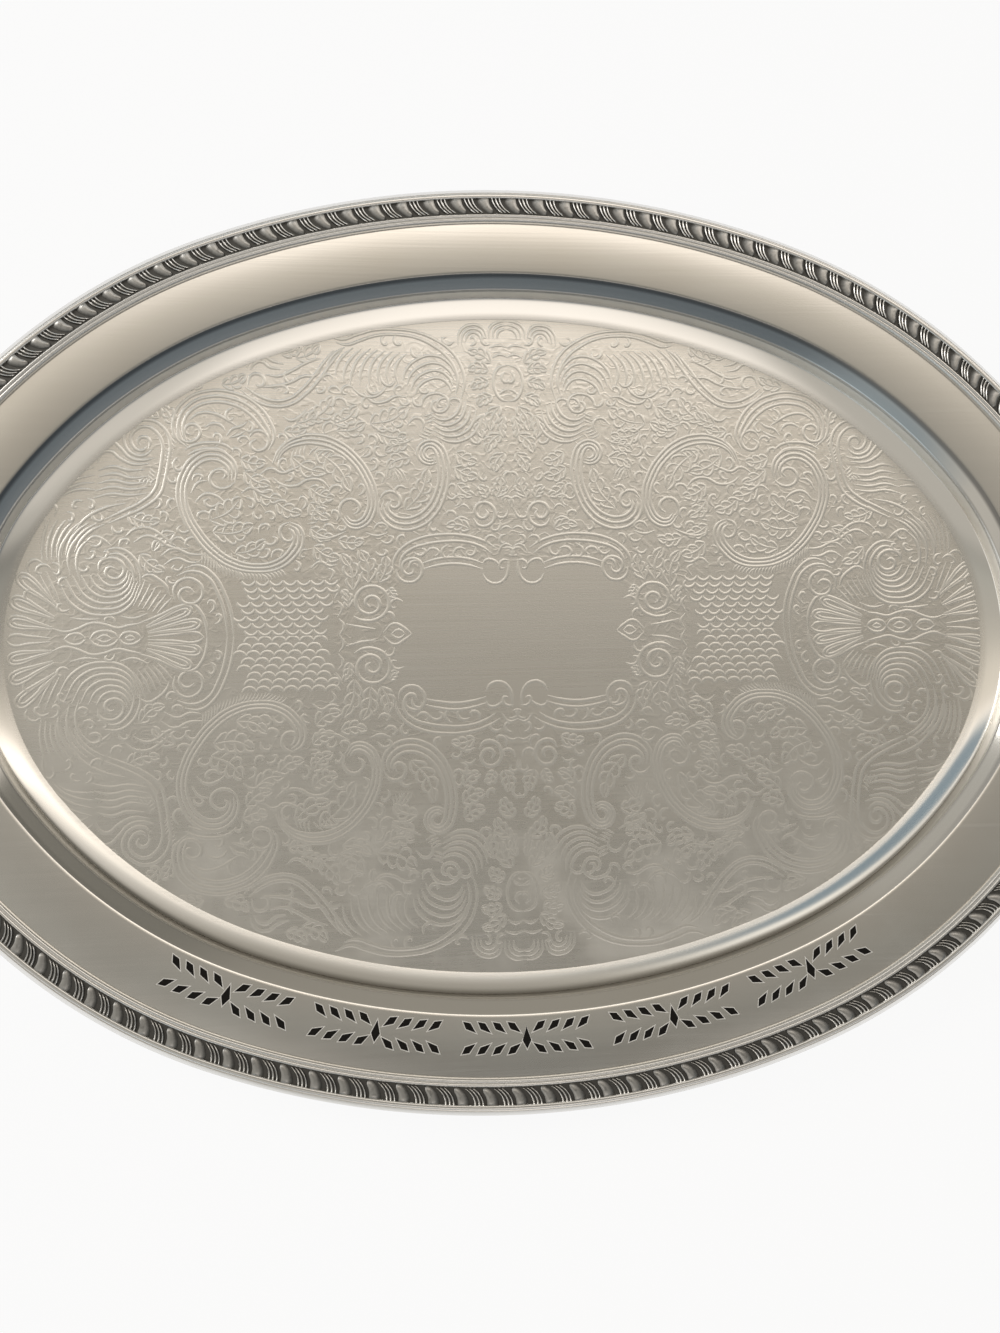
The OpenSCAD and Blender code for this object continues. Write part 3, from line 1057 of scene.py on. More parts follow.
    def piece(self, name, shape):
        """Makes a piece of the lines on the floor, mirrored to all four quarters and worn at the front"""
        drawn = self.curve(name, shape.relief)
        bpy.context.scene.collection.objects.link(drawn)
        evaluated = drawn.evaluated_get(bpy.context.evaluated_depsgraph_get())
        quarter = bpy.data.meshes.new_from_object(evaluated)
        bm = bmesh.new()
        for flip_x, flip_y in ((1, 1), (-1, 1), (-1, -1), (1, -1)):
            copy = quarter.copy()
            copy.transform(Matrix.Translation(PATTERN) @ Matrix.Diagonal((flip_x, flip_y, 1.0, 1.0)))
            bm.from_mesh(copy)
            bpy.data.meshes.remove(copy)
        bpy.data.meshes.remove(quarter)
        bmesh.ops.recalc_face_normals(bm, faces=bm.faces)
        bm.normal_update()
        bmesh.ops.reverse_faces(bm, faces=[face for face in bm.faces if face.normal.z < 0.0])
        floor = Stations(shape).floor
        for vert in bm.verts:
            front = min(1.0, max(0.0, 0.35 - vert.co.y / (60.0 * MM)))
            vert.co.z = vert.co.z * (1.0 - shape.worn * front) + floor
        made = new_piece(name, bm, math.radians(80))
        for helper in (drawn.data.bevel_object, drawn):
            bpy.data.curves.remove(helper.data)
        return dress(made, "silver_plate", bpy.data.materials["silver_plate"])


def draw_corner(chasing):
    """The wide C-scroll of the corner and the curled stalk beside it"""
    chasing.blend(
        ((105, 62), (109, 66), (109.3, 72), (106, 77.5), (99, 80.8), (90, 80.2), (83, 76.5), (78.5, 70.5),
         (77.2, 65.5), (79, 61.3)),
        ((105, 63.5), (106.3, 67), (105.8, 71.5), (103, 75), (98, 77), (91, 76.5), (85.5, 73.5), (82, 69.5),
         (80.3, 67), (80, 66)), 3)
    chasing.lines(
        ((108.5, 68.5), (107.5, 65.2), (104.5, 63.8), (101.6, 65.3), (101, 67.8), (102.8, 69.7),
         (105.3, 69), (105.6, 67), (104, 66.3)),
        ((85.2, 65.5), (83.8, 67.3), (81.5, 67.5), (79.4, 65.8), (79.3, 63), (81.5, 61), (84, 61.4),
         (84.8, 63.4), (83, 64.8)),
        ((104.5, 71.2), (101, 73.5), (96.5, 73.3), (92, 71), (89.5, 69.3)),
        ((99.5, 68.8), (97, 70), (94.5, 69.5), (93, 67.5)),
        ((92.5, 66), (90.5, 68.3), (88, 69), (86, 70.5)),
        ((91.5, 65.3), (89, 66), (86.5, 67.5)))
    chasing.blend(
        ((106, 61.2), (103, 62.8), (98, 63.6), (93, 62.8), (90, 60.5)),
        ((105, 59.5), (102, 61), (98, 61.6), (94, 61), (91.5, 59)), 2)
    chasing.blend(
        ((130, 37.2), (124, 39.8), (118, 42.8), (113.6, 46.8), (112, 52), (111, 58), (110.5, 64), (113, 69),
         (117.5, 71.2), (122, 69.8), (124.9, 66.3), (124.6, 62.5), (122, 59.8), (118.8, 59.4),
         (116.3, 61.2)),
        ((131, 38.5), (125, 41.3), (119.5, 44.2), (115.5, 48), (114, 53), (113.2, 58), (113, 63.5),
         (115, 67.3), (118.2, 69), (121.3, 68), (123, 65.3), (122.4, 62.8), (120.6, 61.2), (118.8, 61.3),
         (117.8, 62.5)), 2)
    chasing.line(((117.2, 61.8), (116.9, 64.2), (118.8, 65.6), (120.6, 64.5), (120, 62.8)))


def draw_kidney(chasing):
    """The kidney-shaped scroll between corner and middle"""
    chasing.blend(
        ((90, 50.5), (89.5, 55), (92, 59.3), (97, 61.2), (102.5, 59.5), (106.8, 54), (108.3, 47),
         (106.8, 40), (103.3, 33.3), (98, 27), (91, 22.4), (83, 20.9), (76, 22), (70.8, 26),
         (68.3, 30.5), (69.3, 35.3), (72.5, 37.2)),
        ((92, 51.5), (92, 54.5), (94, 57), (97.5, 58), (101.5, 56.5), (104.6, 52), (105.6, 46.5),
         (104.3, 40.5), (101.3, 35), (96.5, 29.2), (90.5, 25), (83, 23.3), (77, 24.5), (72.9, 27.8),
         (71.3, 31), (71.8, 34.2), (73, 35.2)), 3)
    chasing.lines(
        ((90, 50.5), (92.5, 48.6), (96, 48.8), (98, 51.3), (96.8, 54), (94.3, 54.6), (92.8, 53),
         (94, 51.6)),
        ((72.5, 37.2), (75.2, 35.8), (75.6, 33), (73.8, 31), (71.6, 31.6), (71.8, 33.6)),
        ((104, 47), (101.5, 50.5), (98.8, 51)),
        ((102.6, 44), (99.5, 46.6), (96, 46), (93, 43.5)))
    chasing.leaf((98, 38), (88, 45.5), 8, 4)
    chasing.leaf((97, 34), (84, 36.5), 7, 4)
    chasing.leaf((90, 27), (80, 31.5), 5, 3)
    chasing.hatch(((97.5, 31), (92, 27.4), (86, 25.6)), 4.0, 2.0, 6)
    chasing.hatch(((101, 24.5), (95.5, 20.8), (88, 18.4), (80, 18), (73.5, 20)), -3.2, -2.4, 26)


def draw_inner(chasing):
    """The two C-scrolls nearest the middle"""
    chasing.blend(
        ((78, 56.5), (75.5, 61.5), (70.5, 65.2), (63.5, 66.2), (56.5, 64), (50.5, 59), (46.5, 53),
         (44.5, 46.5), (45.2, 40), (48.3, 35.8), (53, 35.2), (56, 38.5)),
        ((76, 58), (74, 61), (69.5, 63), (63.5, 63.2), (57.5, 61.2), (52.3, 57), (48.8, 51.5), (47, 46),
         (47.5, 41), (49.8, 37.8), (52.6, 37.4), (54.3, 39.2)), 3)
    chasing.line(((56, 38.5), (56.3, 42), (54, 44.5), (51, 43.8), (50, 41.2), (51.8, 39.6)))
    chasing.blend(
        ((24, 57), (27, 56.3), (30, 58), (30.6, 61.3), (27.5, 64.2), (23.5, 63.2), (21, 58.5), (20.6, 52),
         (22, 45.5), (25.3, 39.3), (30.5, 35.3), (36.5, 34.4), (41.5, 36.8), (43.8, 40.7), (43.3, 44.8)),
        ((25.5, 58.5), (27, 58.3), (28.3, 59.5), (28, 61.3), (26.3, 62), (24.8, 60.5), (24, 57), (23.8, 52),
         (24.9, 47), (27.5, 42.2), (31.5, 39), (36, 38.2), (39.6, 39.8), (41, 42.2), (40.6, 44)), 3)
    chasing.line(((43.3, 44.8), (41.2, 47), (38, 46.6), (36.6, 44), (38, 41.8), (40, 42.4), (39.5, 44.4)))
    chasing.leaf((64, 61), (52.5, 47), 7, 4, -0.1)
    chasing.leaf((72, 59), (60, 53.5), 5.5, 3)
    chasing.leaf((35, 41), (27.5, 55), 6, 4)
    chasing.hatch(((34, 51), (38, 50.5), (41.5, 52.5)), 5.0, 2.5, 7)


def draw_acanthus(chasing):
    """The long acanthus scroll along the side"""
    chasing.blend(
        ((88, 81.3), (83.5, 77.8), (78, 75.8), (72, 76.4), (67, 79.8), (62.5, 84.8), (58.5, 90.5),
         (54.5, 95.5)),
        ((86.5, 82.3), (82.5, 79.5), (77.5, 77.7), (72.5, 78.3), (68.2, 81.5), (64.3, 86), (60.7, 91),
         (57.5, 95)),
        2)
    chasing.blend(
        ((60, 100.2), (55, 98.6), (50, 100.2), (44, 101.9), (37, 102.2), (30, 101.2), (24, 98.7), (19, 95),
         (15.8, 90), (14.6, 84), (15.8, 78.5)),
        ((57, 97.5), (53, 96.8), (49, 98.2), (43.5, 100), (37, 100.4), (30.5, 99.4), (25, 96.8),
         (20.5, 93.2), (17.8, 89), (16.8, 84), (17.6, 80)), 2)
    chasing.blend(
        ((35, 84.5), (33.8, 88.5), (29.5, 92.3), (24, 93.2), (19.8, 90.8), (17.3, 86.5)),
        ((31, 80), (29.5, 83), (26.5, 85), (23, 85.5), (20.3, 83.8), (19, 81)), 4)
    chasing.blend(
        ((26, 73), (22.5, 71.3), (18.5, 72.5), (16.3, 75.8), (16, 79.5)),
        ((25, 66), (19.5, 63.8), (14, 65), (10.6, 68.5), (9.3, 73)), 5)
    chasing.blend(
        ((86, 88.5), (84.5, 92), (81, 93), (77.5, 91), (74, 90)),
        ((84.8, 88), (83.3, 90.3), (81, 90.8), (78.5, 89), (75, 88.2)), 2)
    chasing.blend(
        ((52.5, 83), (51.5, 88), (49.5, 92), (45.5, 95.5)),
        ((36.5, 83), (37.5, 87.5), (36.5, 91), (33.5, 94)), 6)
    chasing.blend(
        ((60, 88), (59, 91.5), (57, 94), (54, 96)),
        ((54.5, 84), (54, 88.5), (52, 92), (48.5, 95.5)), 3)
    chasing.lines(
        ((29, 75.5), (28.3, 78.5), (25.5, 80.2), (22.3, 80), (20.2, 77.8), (20.8, 75), (23.2, 73.9),
         (25.4, 75.2), (25, 77.4), (23, 77.6)),
        ((85.5, 83), (84.6, 86.2), (82, 86.6), (80.3, 84.8), (81, 82.6), (83, 82.8)),
        ((82.5, 82.3), (77, 82.6), (72, 83.8), (67.5, 86), (64, 86.2), (61.5, 88.5)),
        ((80, 86.5), (75.5, 86), (71, 88), (66.5, 90.6), (62, 92)),
        ((52, 82.5), (49, 79.8), (45.5, 79), (42, 80.6), (40.3, 83.2)),
        ((42.5, 86.5), (41.8, 84.2), (39.5, 82.8), (37.5, 84.3)),
        ((48, 80.5), (45, 77.3), (41, 77.5), (37.5, 79.3), (34, 79)))


def draw_volute(chasing):
    """The round volute beside the end shell, with its hair and sprays"""
    chasing.blend(
        ((133.3, 21), (131, 17.8), (127.5, 17), (124.5, 18.8), (123.6, 22)),
        ((146, 20), (140, 10.3), (131, 7.5), (123.5, 10), (119.8, 17.5)), 6)
    chasing.blend(
        ((119.8, 17.5), (120, 22), (122.5, 26.6), (126.5, 29), (131, 28.6)),
        ((121.8, 18), (122, 21.5), (123.8, 25), (126.8, 27.2), (130.5, 27)), 2)
    chasing.line(
        ((132.8, 22), (132.3, 24.6), (129.5, 25.9), (126.3, 25), (124.8, 22.3), (126, 19.8), (128.8, 19.3),
         (130.6, 21), (129.5, 23), (127.8, 22.6)))
    chasing.blend(
        ((138.5, 19), (139.6, 24), (138.6, 29), (135.8, 32.3)),
        ((144.5, 22), (144.8, 28), (142.5, 33), (138.5, 36.5)), 3)
    chasing.blend(
        ((150, 25), (150.3, 30), (149.5, 35), (148, 39)),
        ((140.2, 28), (138.4, 31.5), (135.2, 34.8), (131, 37)), 8)
    chasing.blend(
        ((151, 42), (147.3, 48.5), (142, 53), (134.5, 55.6)),
        ((144.5, 46), (141.5, 47.8), (138, 48.4), (134, 48.2)), 4)
    chasing.blend(
        ((133, 52.6), (128, 53.4), (123, 52), (117, 52.6)),
        ((134.5, 45.5), (129, 46.8), (123.5, 46.3), (118, 47)), 4)
    chasing.lines(
        ((149.5, 36.5), (149.3, 41), (148, 43.6), (146.2, 42.8), (146.6, 39.5)),
        ((143.5, 59), (139, 57.8), (135.5, 55.8)),
        ((140.5, 61.5), (137, 60.5), (134, 58)),
        ((135, 61.5), (132.6, 64), (129.5, 64.6), (126.3, 62), (123.3, 58.8), (119.5, 57.8), (115.5, 58.6)),
        ((133.5, 57), (131.8, 60.3), (129.3, 60.8), (126.5, 58.6), (122, 56.5), (117, 56.8)),
        ((133, 54.6), (128.5, 55.8), (124, 54.6), (118.5, 54.8)),
        ((141, 33.8), (137, 38.8), (131, 42.2), (124.5, 43.8)),
        ((137, 31), (134.3, 33), (131.5, 32), (129, 30)),
        ((124.5, 33), (121.5, 35.3), (117.5, 35.6), (113.5, 33.4), (110.5, 30.5)),
        ((122, 31), (118, 33), (114.5, 32), (111, 29.6), (105, 28.6)),
        ((113.5, 26.5), (109.5, 28.8), (104.5, 27), (99, 26.8)),
        ((112.5, 23.6), (108.5, 25.6), (104.5, 24.2), (101, 24.4)))
    chasing.leaf((124, 40), (113.5, 38), 5, 4)
    chasing.leaf((120, 27), (112, 21.5), 4.5, 3)
    chasing.leaf((131, 66), (138, 63.5), 4, 3)
    chasing.leaf((127, 66.5), (131.5, 71), 4, 3)
    chasing.leaf((114, 72), (118.5, 76.5), 4.5, 3)


def draw_fans(chasing):
    """The outer and inner fan of petals, the chain between them and the knob"""
    chasing.petal((145.5, 10.5), (157.6, 20.8), 4.2)
    chasing.petal((146.5, 7), (159.8, 13), 4.2)
    chasing.petal((147, 3.6), (160.4, 6.3), 3.8)
    chasing.petal((118, 3.5), (104, 9.4), 3.4)
    chasing.petal((117.5, 1.8), (101, 4.6), 3.4)
    chasing.lines(
        ((147.5, 0.6), (154, 1.2), (159.3, 1.6), (161, 0)),
        ((117.5, 0.5), (110, 1), (102, 1.4), (100, 0)),
        ((150, 24.5), (152.6, 25.6), (154.8, 23.8), (154.2, 21.6)),
        ((135.4, 0), (134, 1.7), (131, 2.5), (128, 1.7), (126.6, 0)),
        ((133.4, 0), (131, 1.1), (128.6, 0)),
        ((126.4, 0), (125, 1.6), (122.8, 2), (120.6, 1.2), (119.6, 0)),
        ((124.6, 0), (123, 0.8), (121.4, 0)),
        ((143.4, 0), (141.4, 1.5), (138.6, 1.6), (136.6, 0)),
        ((147, 3.6), (143, 2.4), (139, 3.4), (135, 5), (131, 4.6), (127, 3.4), (123, 4.2), (119.5, 4.8)),
        ((141.5, 7), (137, 6.2), (132.5, 6.4)),
        ((126, 7.2), (122, 6.4), (117.5, 8)),
        ((121, 4.6), (114, 7.2), (108, 10), (103.6, 10.6), (100.6, 7.6), (99.2, 3.6), (99, 0)),
        ((120, 19.2), (117.3, 20.4), (114.3, 19), (111.8, 16.6), (110.8, 14)),
        ((109, 12), (109.3, 16), (106.5, 18.9), (102.5, 18.4), (100.3, 15), (101.6, 11.8), (104.7, 10.9),
         (107.3, 12.4), (107.4, 14.8), (105, 16), (103, 14.6)))
    chasing.blend(
        ((122, 10.5), (119.8, 14.5), (118.3, 18.8)),
        ((114.5, 8), (112.3, 10.4), (110, 13)), 6, 0.42)
    chasing.blend(
        ((148, 12), (150.5, 15.5), (153, 20)),
        ((144.5, 11.5), (146.5, 16), (149, 22)), 3, 0.42)


def draw_scales(chasing):
    """The panel of fish scales between the inner shell and the middle"""
    chasing.blend(
        ((108.5, 20), (104, 21.4), (99, 19.6), (95.5, 14), (93.3, 7), (92.6, 0)),
        ((106, 22.5), (101.5, 23.2), (96.8, 20), (93.4, 14), (91.3, 7.3), (90.6, 0)), 2)
    scale = ((0.0, 0.8), (0.8, -0.3), (2.2, -0.8), (3.6, -0.3), (4.4, 0.8))
    width = 4.4
    row_pitch = 2.3
    for row in range(8):
        height = 1.1 + row_pitch * row
        low = 61.0 - 0.02 * height ** 2 + width / 2 * (row % 2)
        high = 91.5 - 0.008 * height ** 2
        for index in range(7):
            start = low + width * index
            if start + width < high:
                chasing.line([(start + along, height + across) for along, across in scale], 0.5, 0.6)


def draw_cartouche(chasing):
    """The frame round the blank middle"""
    chasing.blend(
        ((39.5, 21), (38.8, 25), (36, 28.6), (31, 31.3), (24, 32.6), (16, 32.3), (9.5, 30.4), (5.5, 28)),
        ((37.2, 21.5), (36.5, 25), (33.8, 27.7), (29, 29.4), (23, 30.3), (16, 30.2), (10.5, 28.6),
         (7, 26.3)), 2)
    chasing.blend(
        ((30, 21.2), (25, 22.4), (20, 22.9), (15, 22.4), (10, 21)),
        ((30.5, 23), (25.5, 24.4), (20, 25), (14.5, 24.4), (9.5, 22.8)), 2)
    chasing.lines(
        ((38.5, 21.5), (37.5, 18.3), (34, 16.9), (30.9, 18.5), (29.9, 21.5), (31.3, 24.3), (34.3, 24.6),
         (36.4, 22.6), (35.6, 20), (33.4, 19.8), (32.6, 21.6)),
        ((10.3, 22.3), (8.8, 24.2), (6.2, 23.8), (4.2, 21.8)),
        ((10.2, 19.5), (8.6, 17), (5.6, 16.2), (2.8, 17.8), (1.6, 21), (1.7, 24.5)),
        ((5, 26.5), (2.6, 29.3), (0, 28.4)),
        ((4.5, 33.5), (2, 35.2), (0, 34.4)))


def draw_flowers(chasing):
    """The large rose at each end of the cartouche, the small one over it, and their leaves"""
    chasing.line(
        ((52.5, 6), (49.5, 4.6), (45.5, 4.8), (42, 7.2), (41, 11), (43, 14.6), (47, 15.8), (50.8, 13.8),
         (51.5, 10), (49.3, 7.2), (46, 7), (44, 9.3), (45, 12), (47.6, 12.2), (48.5, 10.2), (47, 9)))
    chasing.line(
        ((12.8, 38), (11, 35.6), (7.6, 35.8), (5.6, 38.6), (6.4, 42), (9.4, 43.4), (12, 41.6), (11.6, 39),
         (9.4, 38), (8, 39.4), (8.8, 41)))
    chasing.lines(
        ((43, 0.6), (39.5, 3.4), (36, 1.8), (33.8, 0)),
        ((55, 3.6), (50, 2.4), (45.5, 1.8)),
        ((40.5, 0), (38, 1.4), (36, 0)),
        ((21.8, 45.8), (19.6, 44.4), (17.2, 46), (14.6, 45)),
        ((20, 36.5), (17, 38.4), (14, 37.4)),
        ((18, 41.5), (15.8, 42.6), (14, 41)))
    for base, tip, width in (
            ((47.5, 17), (50.5, 28), 5.5), ((44, 17), (41.8, 26), 4.5), ((52.5, 14.5), (56.5, 27), 5),
            ((41, 15), (38.5, 12), 3), ((54, 9), (56, 15), 3), ((5, 45), (3.5, 52), 4.5),
            ((8, 45), (11, 49), 3.5), ((14, 34.5), (22, 35.5), 4)):
        chasing.leaf(base, tip, width)


def draw_palmette(chasing):
    """The lobes over the boss at the middle of the side, and the garland under it"""
    chasing.blend(
        ((16.5, 97), (15.8, 101.5), (12.3, 103.9), (8.3, 103), (6.8, 99.5)),
        ((14, 98), (13.3, 100.3), (11.6, 101.3), (9.5, 100.6), (8.8, 98.5)), 3)
    chasing.blend(
        ((6, 99), (5.6, 103), (2.8, 105), (0, 105.2)),
        ((3.2, 99), (3, 101.2), (1.5, 102.4), (0, 102.5)), 3)
    chasing.lines(
        ((0, 90.2), (3.2, 89), (4.8, 85.5), (4.4, 81.3), (2.4, 78.3), (0, 77.6)),
        ((0, 81.8), (1.8, 81.2), (3, 79.9)),
        ((0, 79.9), (1.4, 79.6)),
        ((5, 92.6), (2.4, 93.8), (0, 92.8)),
        ((6, 96), (3, 96.9), (0, 96.2)))
    for base, tip, width in (
            ((5.5, 91), (13.5, 95), 4), ((6.5, 88.5), (13.5, 88.5), 4), ((6.5, 84.5), (12.5, 82), 4),
            ((5.5, 79.5), (10.5, 76), 4), ((3, 76), (6.5, 67.5), 4.5), ((8.5, 73), (9, 65), 4),
            ((3, 66.5), (8, 60), 4.5), ((1.6, 72.5), (1.8, 65), 2.6), ((2, 60), (5.5, 53.5), 4.5)):
        chasing.leaf(base, tip, width)


def draw_leaves(chasing):
    """The leaves, hair and small curls between the scrolls"""
    for base, tip, width, lobes in (
            ((46, 70), (33.5, 75.5), 8, 4), ((44, 67), (34, 66), 6, 4), ((58, 70), (50, 76), 6, 3),
            ((57, 67.5), (47.5, 70.5), 5, 3), ((66, 71), (58, 79.5), 6, 4),
            ((74, 67.5), (66.5, 68.5), 4, 3), ((70, 70), (63, 74.5), 4.5, 3),
            ((88, 58), (80, 57), 5, 3), ((87, 54), (78.5, 49.5), 5, 3),
            ((84, 48), (75, 45), 5.5, 3), ((77, 44), (68.5, 40), 5, 3), ((66, 48.5), (58, 45), 5.5, 4),
            ((66, 43.5), (59.5, 38), 5, 3), ((66, 35), (58.5, 32), 4.5, 3), ((57, 31), (48.5, 31), 4.5, 3),
            ((65, 29), (56.5, 25), 5.5, 3), ((110, 70), (113.5, 76), 4, 3), ((94, 83), (86, 86.5), 4.5, 3),
            ((100, 83), (108, 81.5), 4, 3), ((70, 92), (62, 97), 5, 3), ((75, 93.5), (68, 97.5), 4, 3),
            ((34, 63), (41.5, 60.5), 4.5, 3), ((33, 58.5), (41, 55), 5, 3), ((18, 60), (11, 57), 5, 3),
            ((18.5, 55), (11, 52), 5, 3), ((18, 49.5), (12.5, 45.5), 4.5, 3), ((109, 34), (116, 28), 4, 3)):
        chasing.leaf(base, tip, width, lobes)
    chasing.lines(
        ((74.5, 72.5), (72, 71), (68.7, 72.5), (66.5, 75.2)),
        ((78, 52), (75, 49.6), (70.5, 49.2), (66.5, 51.2), (62.5, 51), (59.5, 48.2)),
        ((82, 53), (78.5, 55), (75, 53.5), (71.5, 54.6), (68, 56.5)),
        ((66.5, 33.2), (62.5, 31.6), (58.5, 32.2), (54.5, 34)),
        ((88, 46.8), (85, 48.6), (81.5, 47), (78, 47.6)),
        ((66, 22), (63, 24), (60, 22.6), (57.5, 23)),
        ((60, 18), (58.6, 20.6), (60.6, 22)),
        ((58.5, 12), (57, 15), (58.8, 17.4)),
        ((57.5, 6), (56, 9), (57.8, 11.4)),
        ((57, 0), (55.6, 3), (57.2, 5.4)),
        ((48, 33.5), (44.5, 32.4), (41, 33.4)),
        ((34, 69.5), (31, 72), (28.6, 70.6), (29, 67.4)),
        ((32, 65), (35.5, 63.4), (39, 64)))
    chasing.hatch(((72, 57), (66.5, 59.5), (60, 57.5)), -3.5, 2.0, 9)
    chasing.hatch(((60, 72), (56.5, 74), (53, 78)), 3.0, 1.5, 7)
    chasing.hatch(((31, 66), (28, 69.5), (28.5, 73)), 3.5, 1.0, 7)
    chasing.hatch(((110, 56), (109.5, 61), (108, 65)), -2.6, 1.6, 8)
    chasing.hatch(((121, 50), (116, 49.5), (114.8, 54)), -2.4, 1.4, 8)
    chasing.hatch(((67, 36), (66, 41), (62.5, 44)), 3.0, 1.2, 7)


SCROLLS = (draw_corner, draw_kidney, draw_inner, draw_acanthus)
SHELLS = (draw_volute, draw_fans, draw_scales)
LEAVES = (draw_leaves,)
CENTRE = (draw_cartouche, draw_flowers, draw_palmette)


def drawn_lines(*drawings):
    """The lines of some drawings together"""
    chasing = Chasing()
    for draw in drawings:
        draw(chasing)
    return chasing


class SERVING_TRAY_OT_scrolls(bpy.types.Operator):
    """Chases the large scrolls of the floor"""

    bl_idname = "serving_tray.scrolls"
    bl_label = "Scrolls"

    def execute(self, context):
        drawn_lines(*SCROLLS).piece("chased_scrolls", context.scene.tray_shape)
        return {"FINISHED"}


class SERVING_TRAY_OT_shells(bpy.types.Operator):
    """Chases the volutes, shells and scales of the ends"""

    bl_idname = "serving_tray.shells"
    bl_label = "Shells"

    def execute(self, context):
        drawn_lines(*SHELLS).piece("chased_shells", context.scene.tray_shape)
        return {"FINISHED"}


class SERVING_TRAY_OT_leaves(bpy.types.Operator):
    """Chases the leaves and hair between the scrolls"""

    bl_idname = "serving_tray.leaves"
    bl_label = "Leaves"

    def execute(self, context):
        drawn_lines(*LEAVES).piece("chased_leaves", context.scene.tray_shape)
        return {"FINISHED"}


class SERVING_TRAY_OT_curls(bpy.types.Operator):
    """Chases small curls into the ground between all other lines"""

    bl_idname = "serving_tray.curls"
    bl_label = "Curls"

    def execute(self, context):
        chasing = Chasing()
        chasing.curls(drawn_lines(*SCROLLS, *SHELLS, *LEAVES, *CENTRE), CURLS_SPACING)
        chasing.piece("chased_curls", context.scene.tray_shape)
        return {"FINISHED"}


class SERVING_TRAY_OT_centre(bpy.types.Operator):
    """Chases the blank cartouche, its flowers and the palmettes of the sides"""

    bl_idname = "serving_tray.centre"
    bl_label = "Centre"

    def execute(self, context):
        drawn_lines(*CENTRE).piece("chased_centre", context.scene.tray_shape)
        return {"FINISHED"}


# Photograph's camera: focal length in pixels of a frame 1333 pixels tall, and its place in the tray's frame
FOCAL_PIXELS = 1050.0
FRAME_PIXELS = 1333.0
CAMERA_PLACE = Vector((-34.0, -37.4, 341.7)) * MM
CAMERA_LOOK = Vector((0.0875, 0.0840, -0.9926))
CAMERA_RIGHT = Vector((0.9960, -0.0270, 0.0855))

# Radius of the stage's floor, and how far it lies under the tray
FLOOR_RADIUS = 4.0
FLOOR_GAP = 0.02 * MM

# Tones of the sky that the plate mirrors, from 0 at the horizon in front over 0.5 at the top to 1 at the back
SKY_BANDS = (
    (0.0, (0.7, 0.68, 0.65)),
    (0.02, (0.48, 0.47, 0.46)),
    (0.045, (0.18, 0.19, 0.205)),
    (0.07, (0.10, 0.12, 0.14)),
    (0.09, (0.2, 0.2, 0.21)),
    (0.115, (0.65, 0.61, 0.57)),
    (0.145, (1.1, 1.03, 0.95)),
    (0.28, (1.2, 1.12, 1.03)),
    (0.305, (0.8, 0.76, 0.7)),
    (0.335, (0.17, 0.165, 0.15)),
    (0.39, (0.16, 0.155, 0.14)),
    (0.45, (0.30, 0.29, 0.26)),
    (0.52, (0.32, 0.3, 0.265)),
    (0.57, (0.38, 0.355, 0.31)),
    (0.61, (0.49, 0.45, 0.39)),
    (0.65, (0.62, 0.57, 0.49)),
    (0.68, (0.78, 0.71, 0.62)),
    (0.735, (1.75, 1.61, 1.45)),
    (0.775, (1.5, 1.39, 1.25)),
    (0.82, (0.72, 0.68, 0.62)),
    (0.88, (0.38, 0.355, 0.31)),
    (0.96, (0.32, 0.3, 0.26)),
)


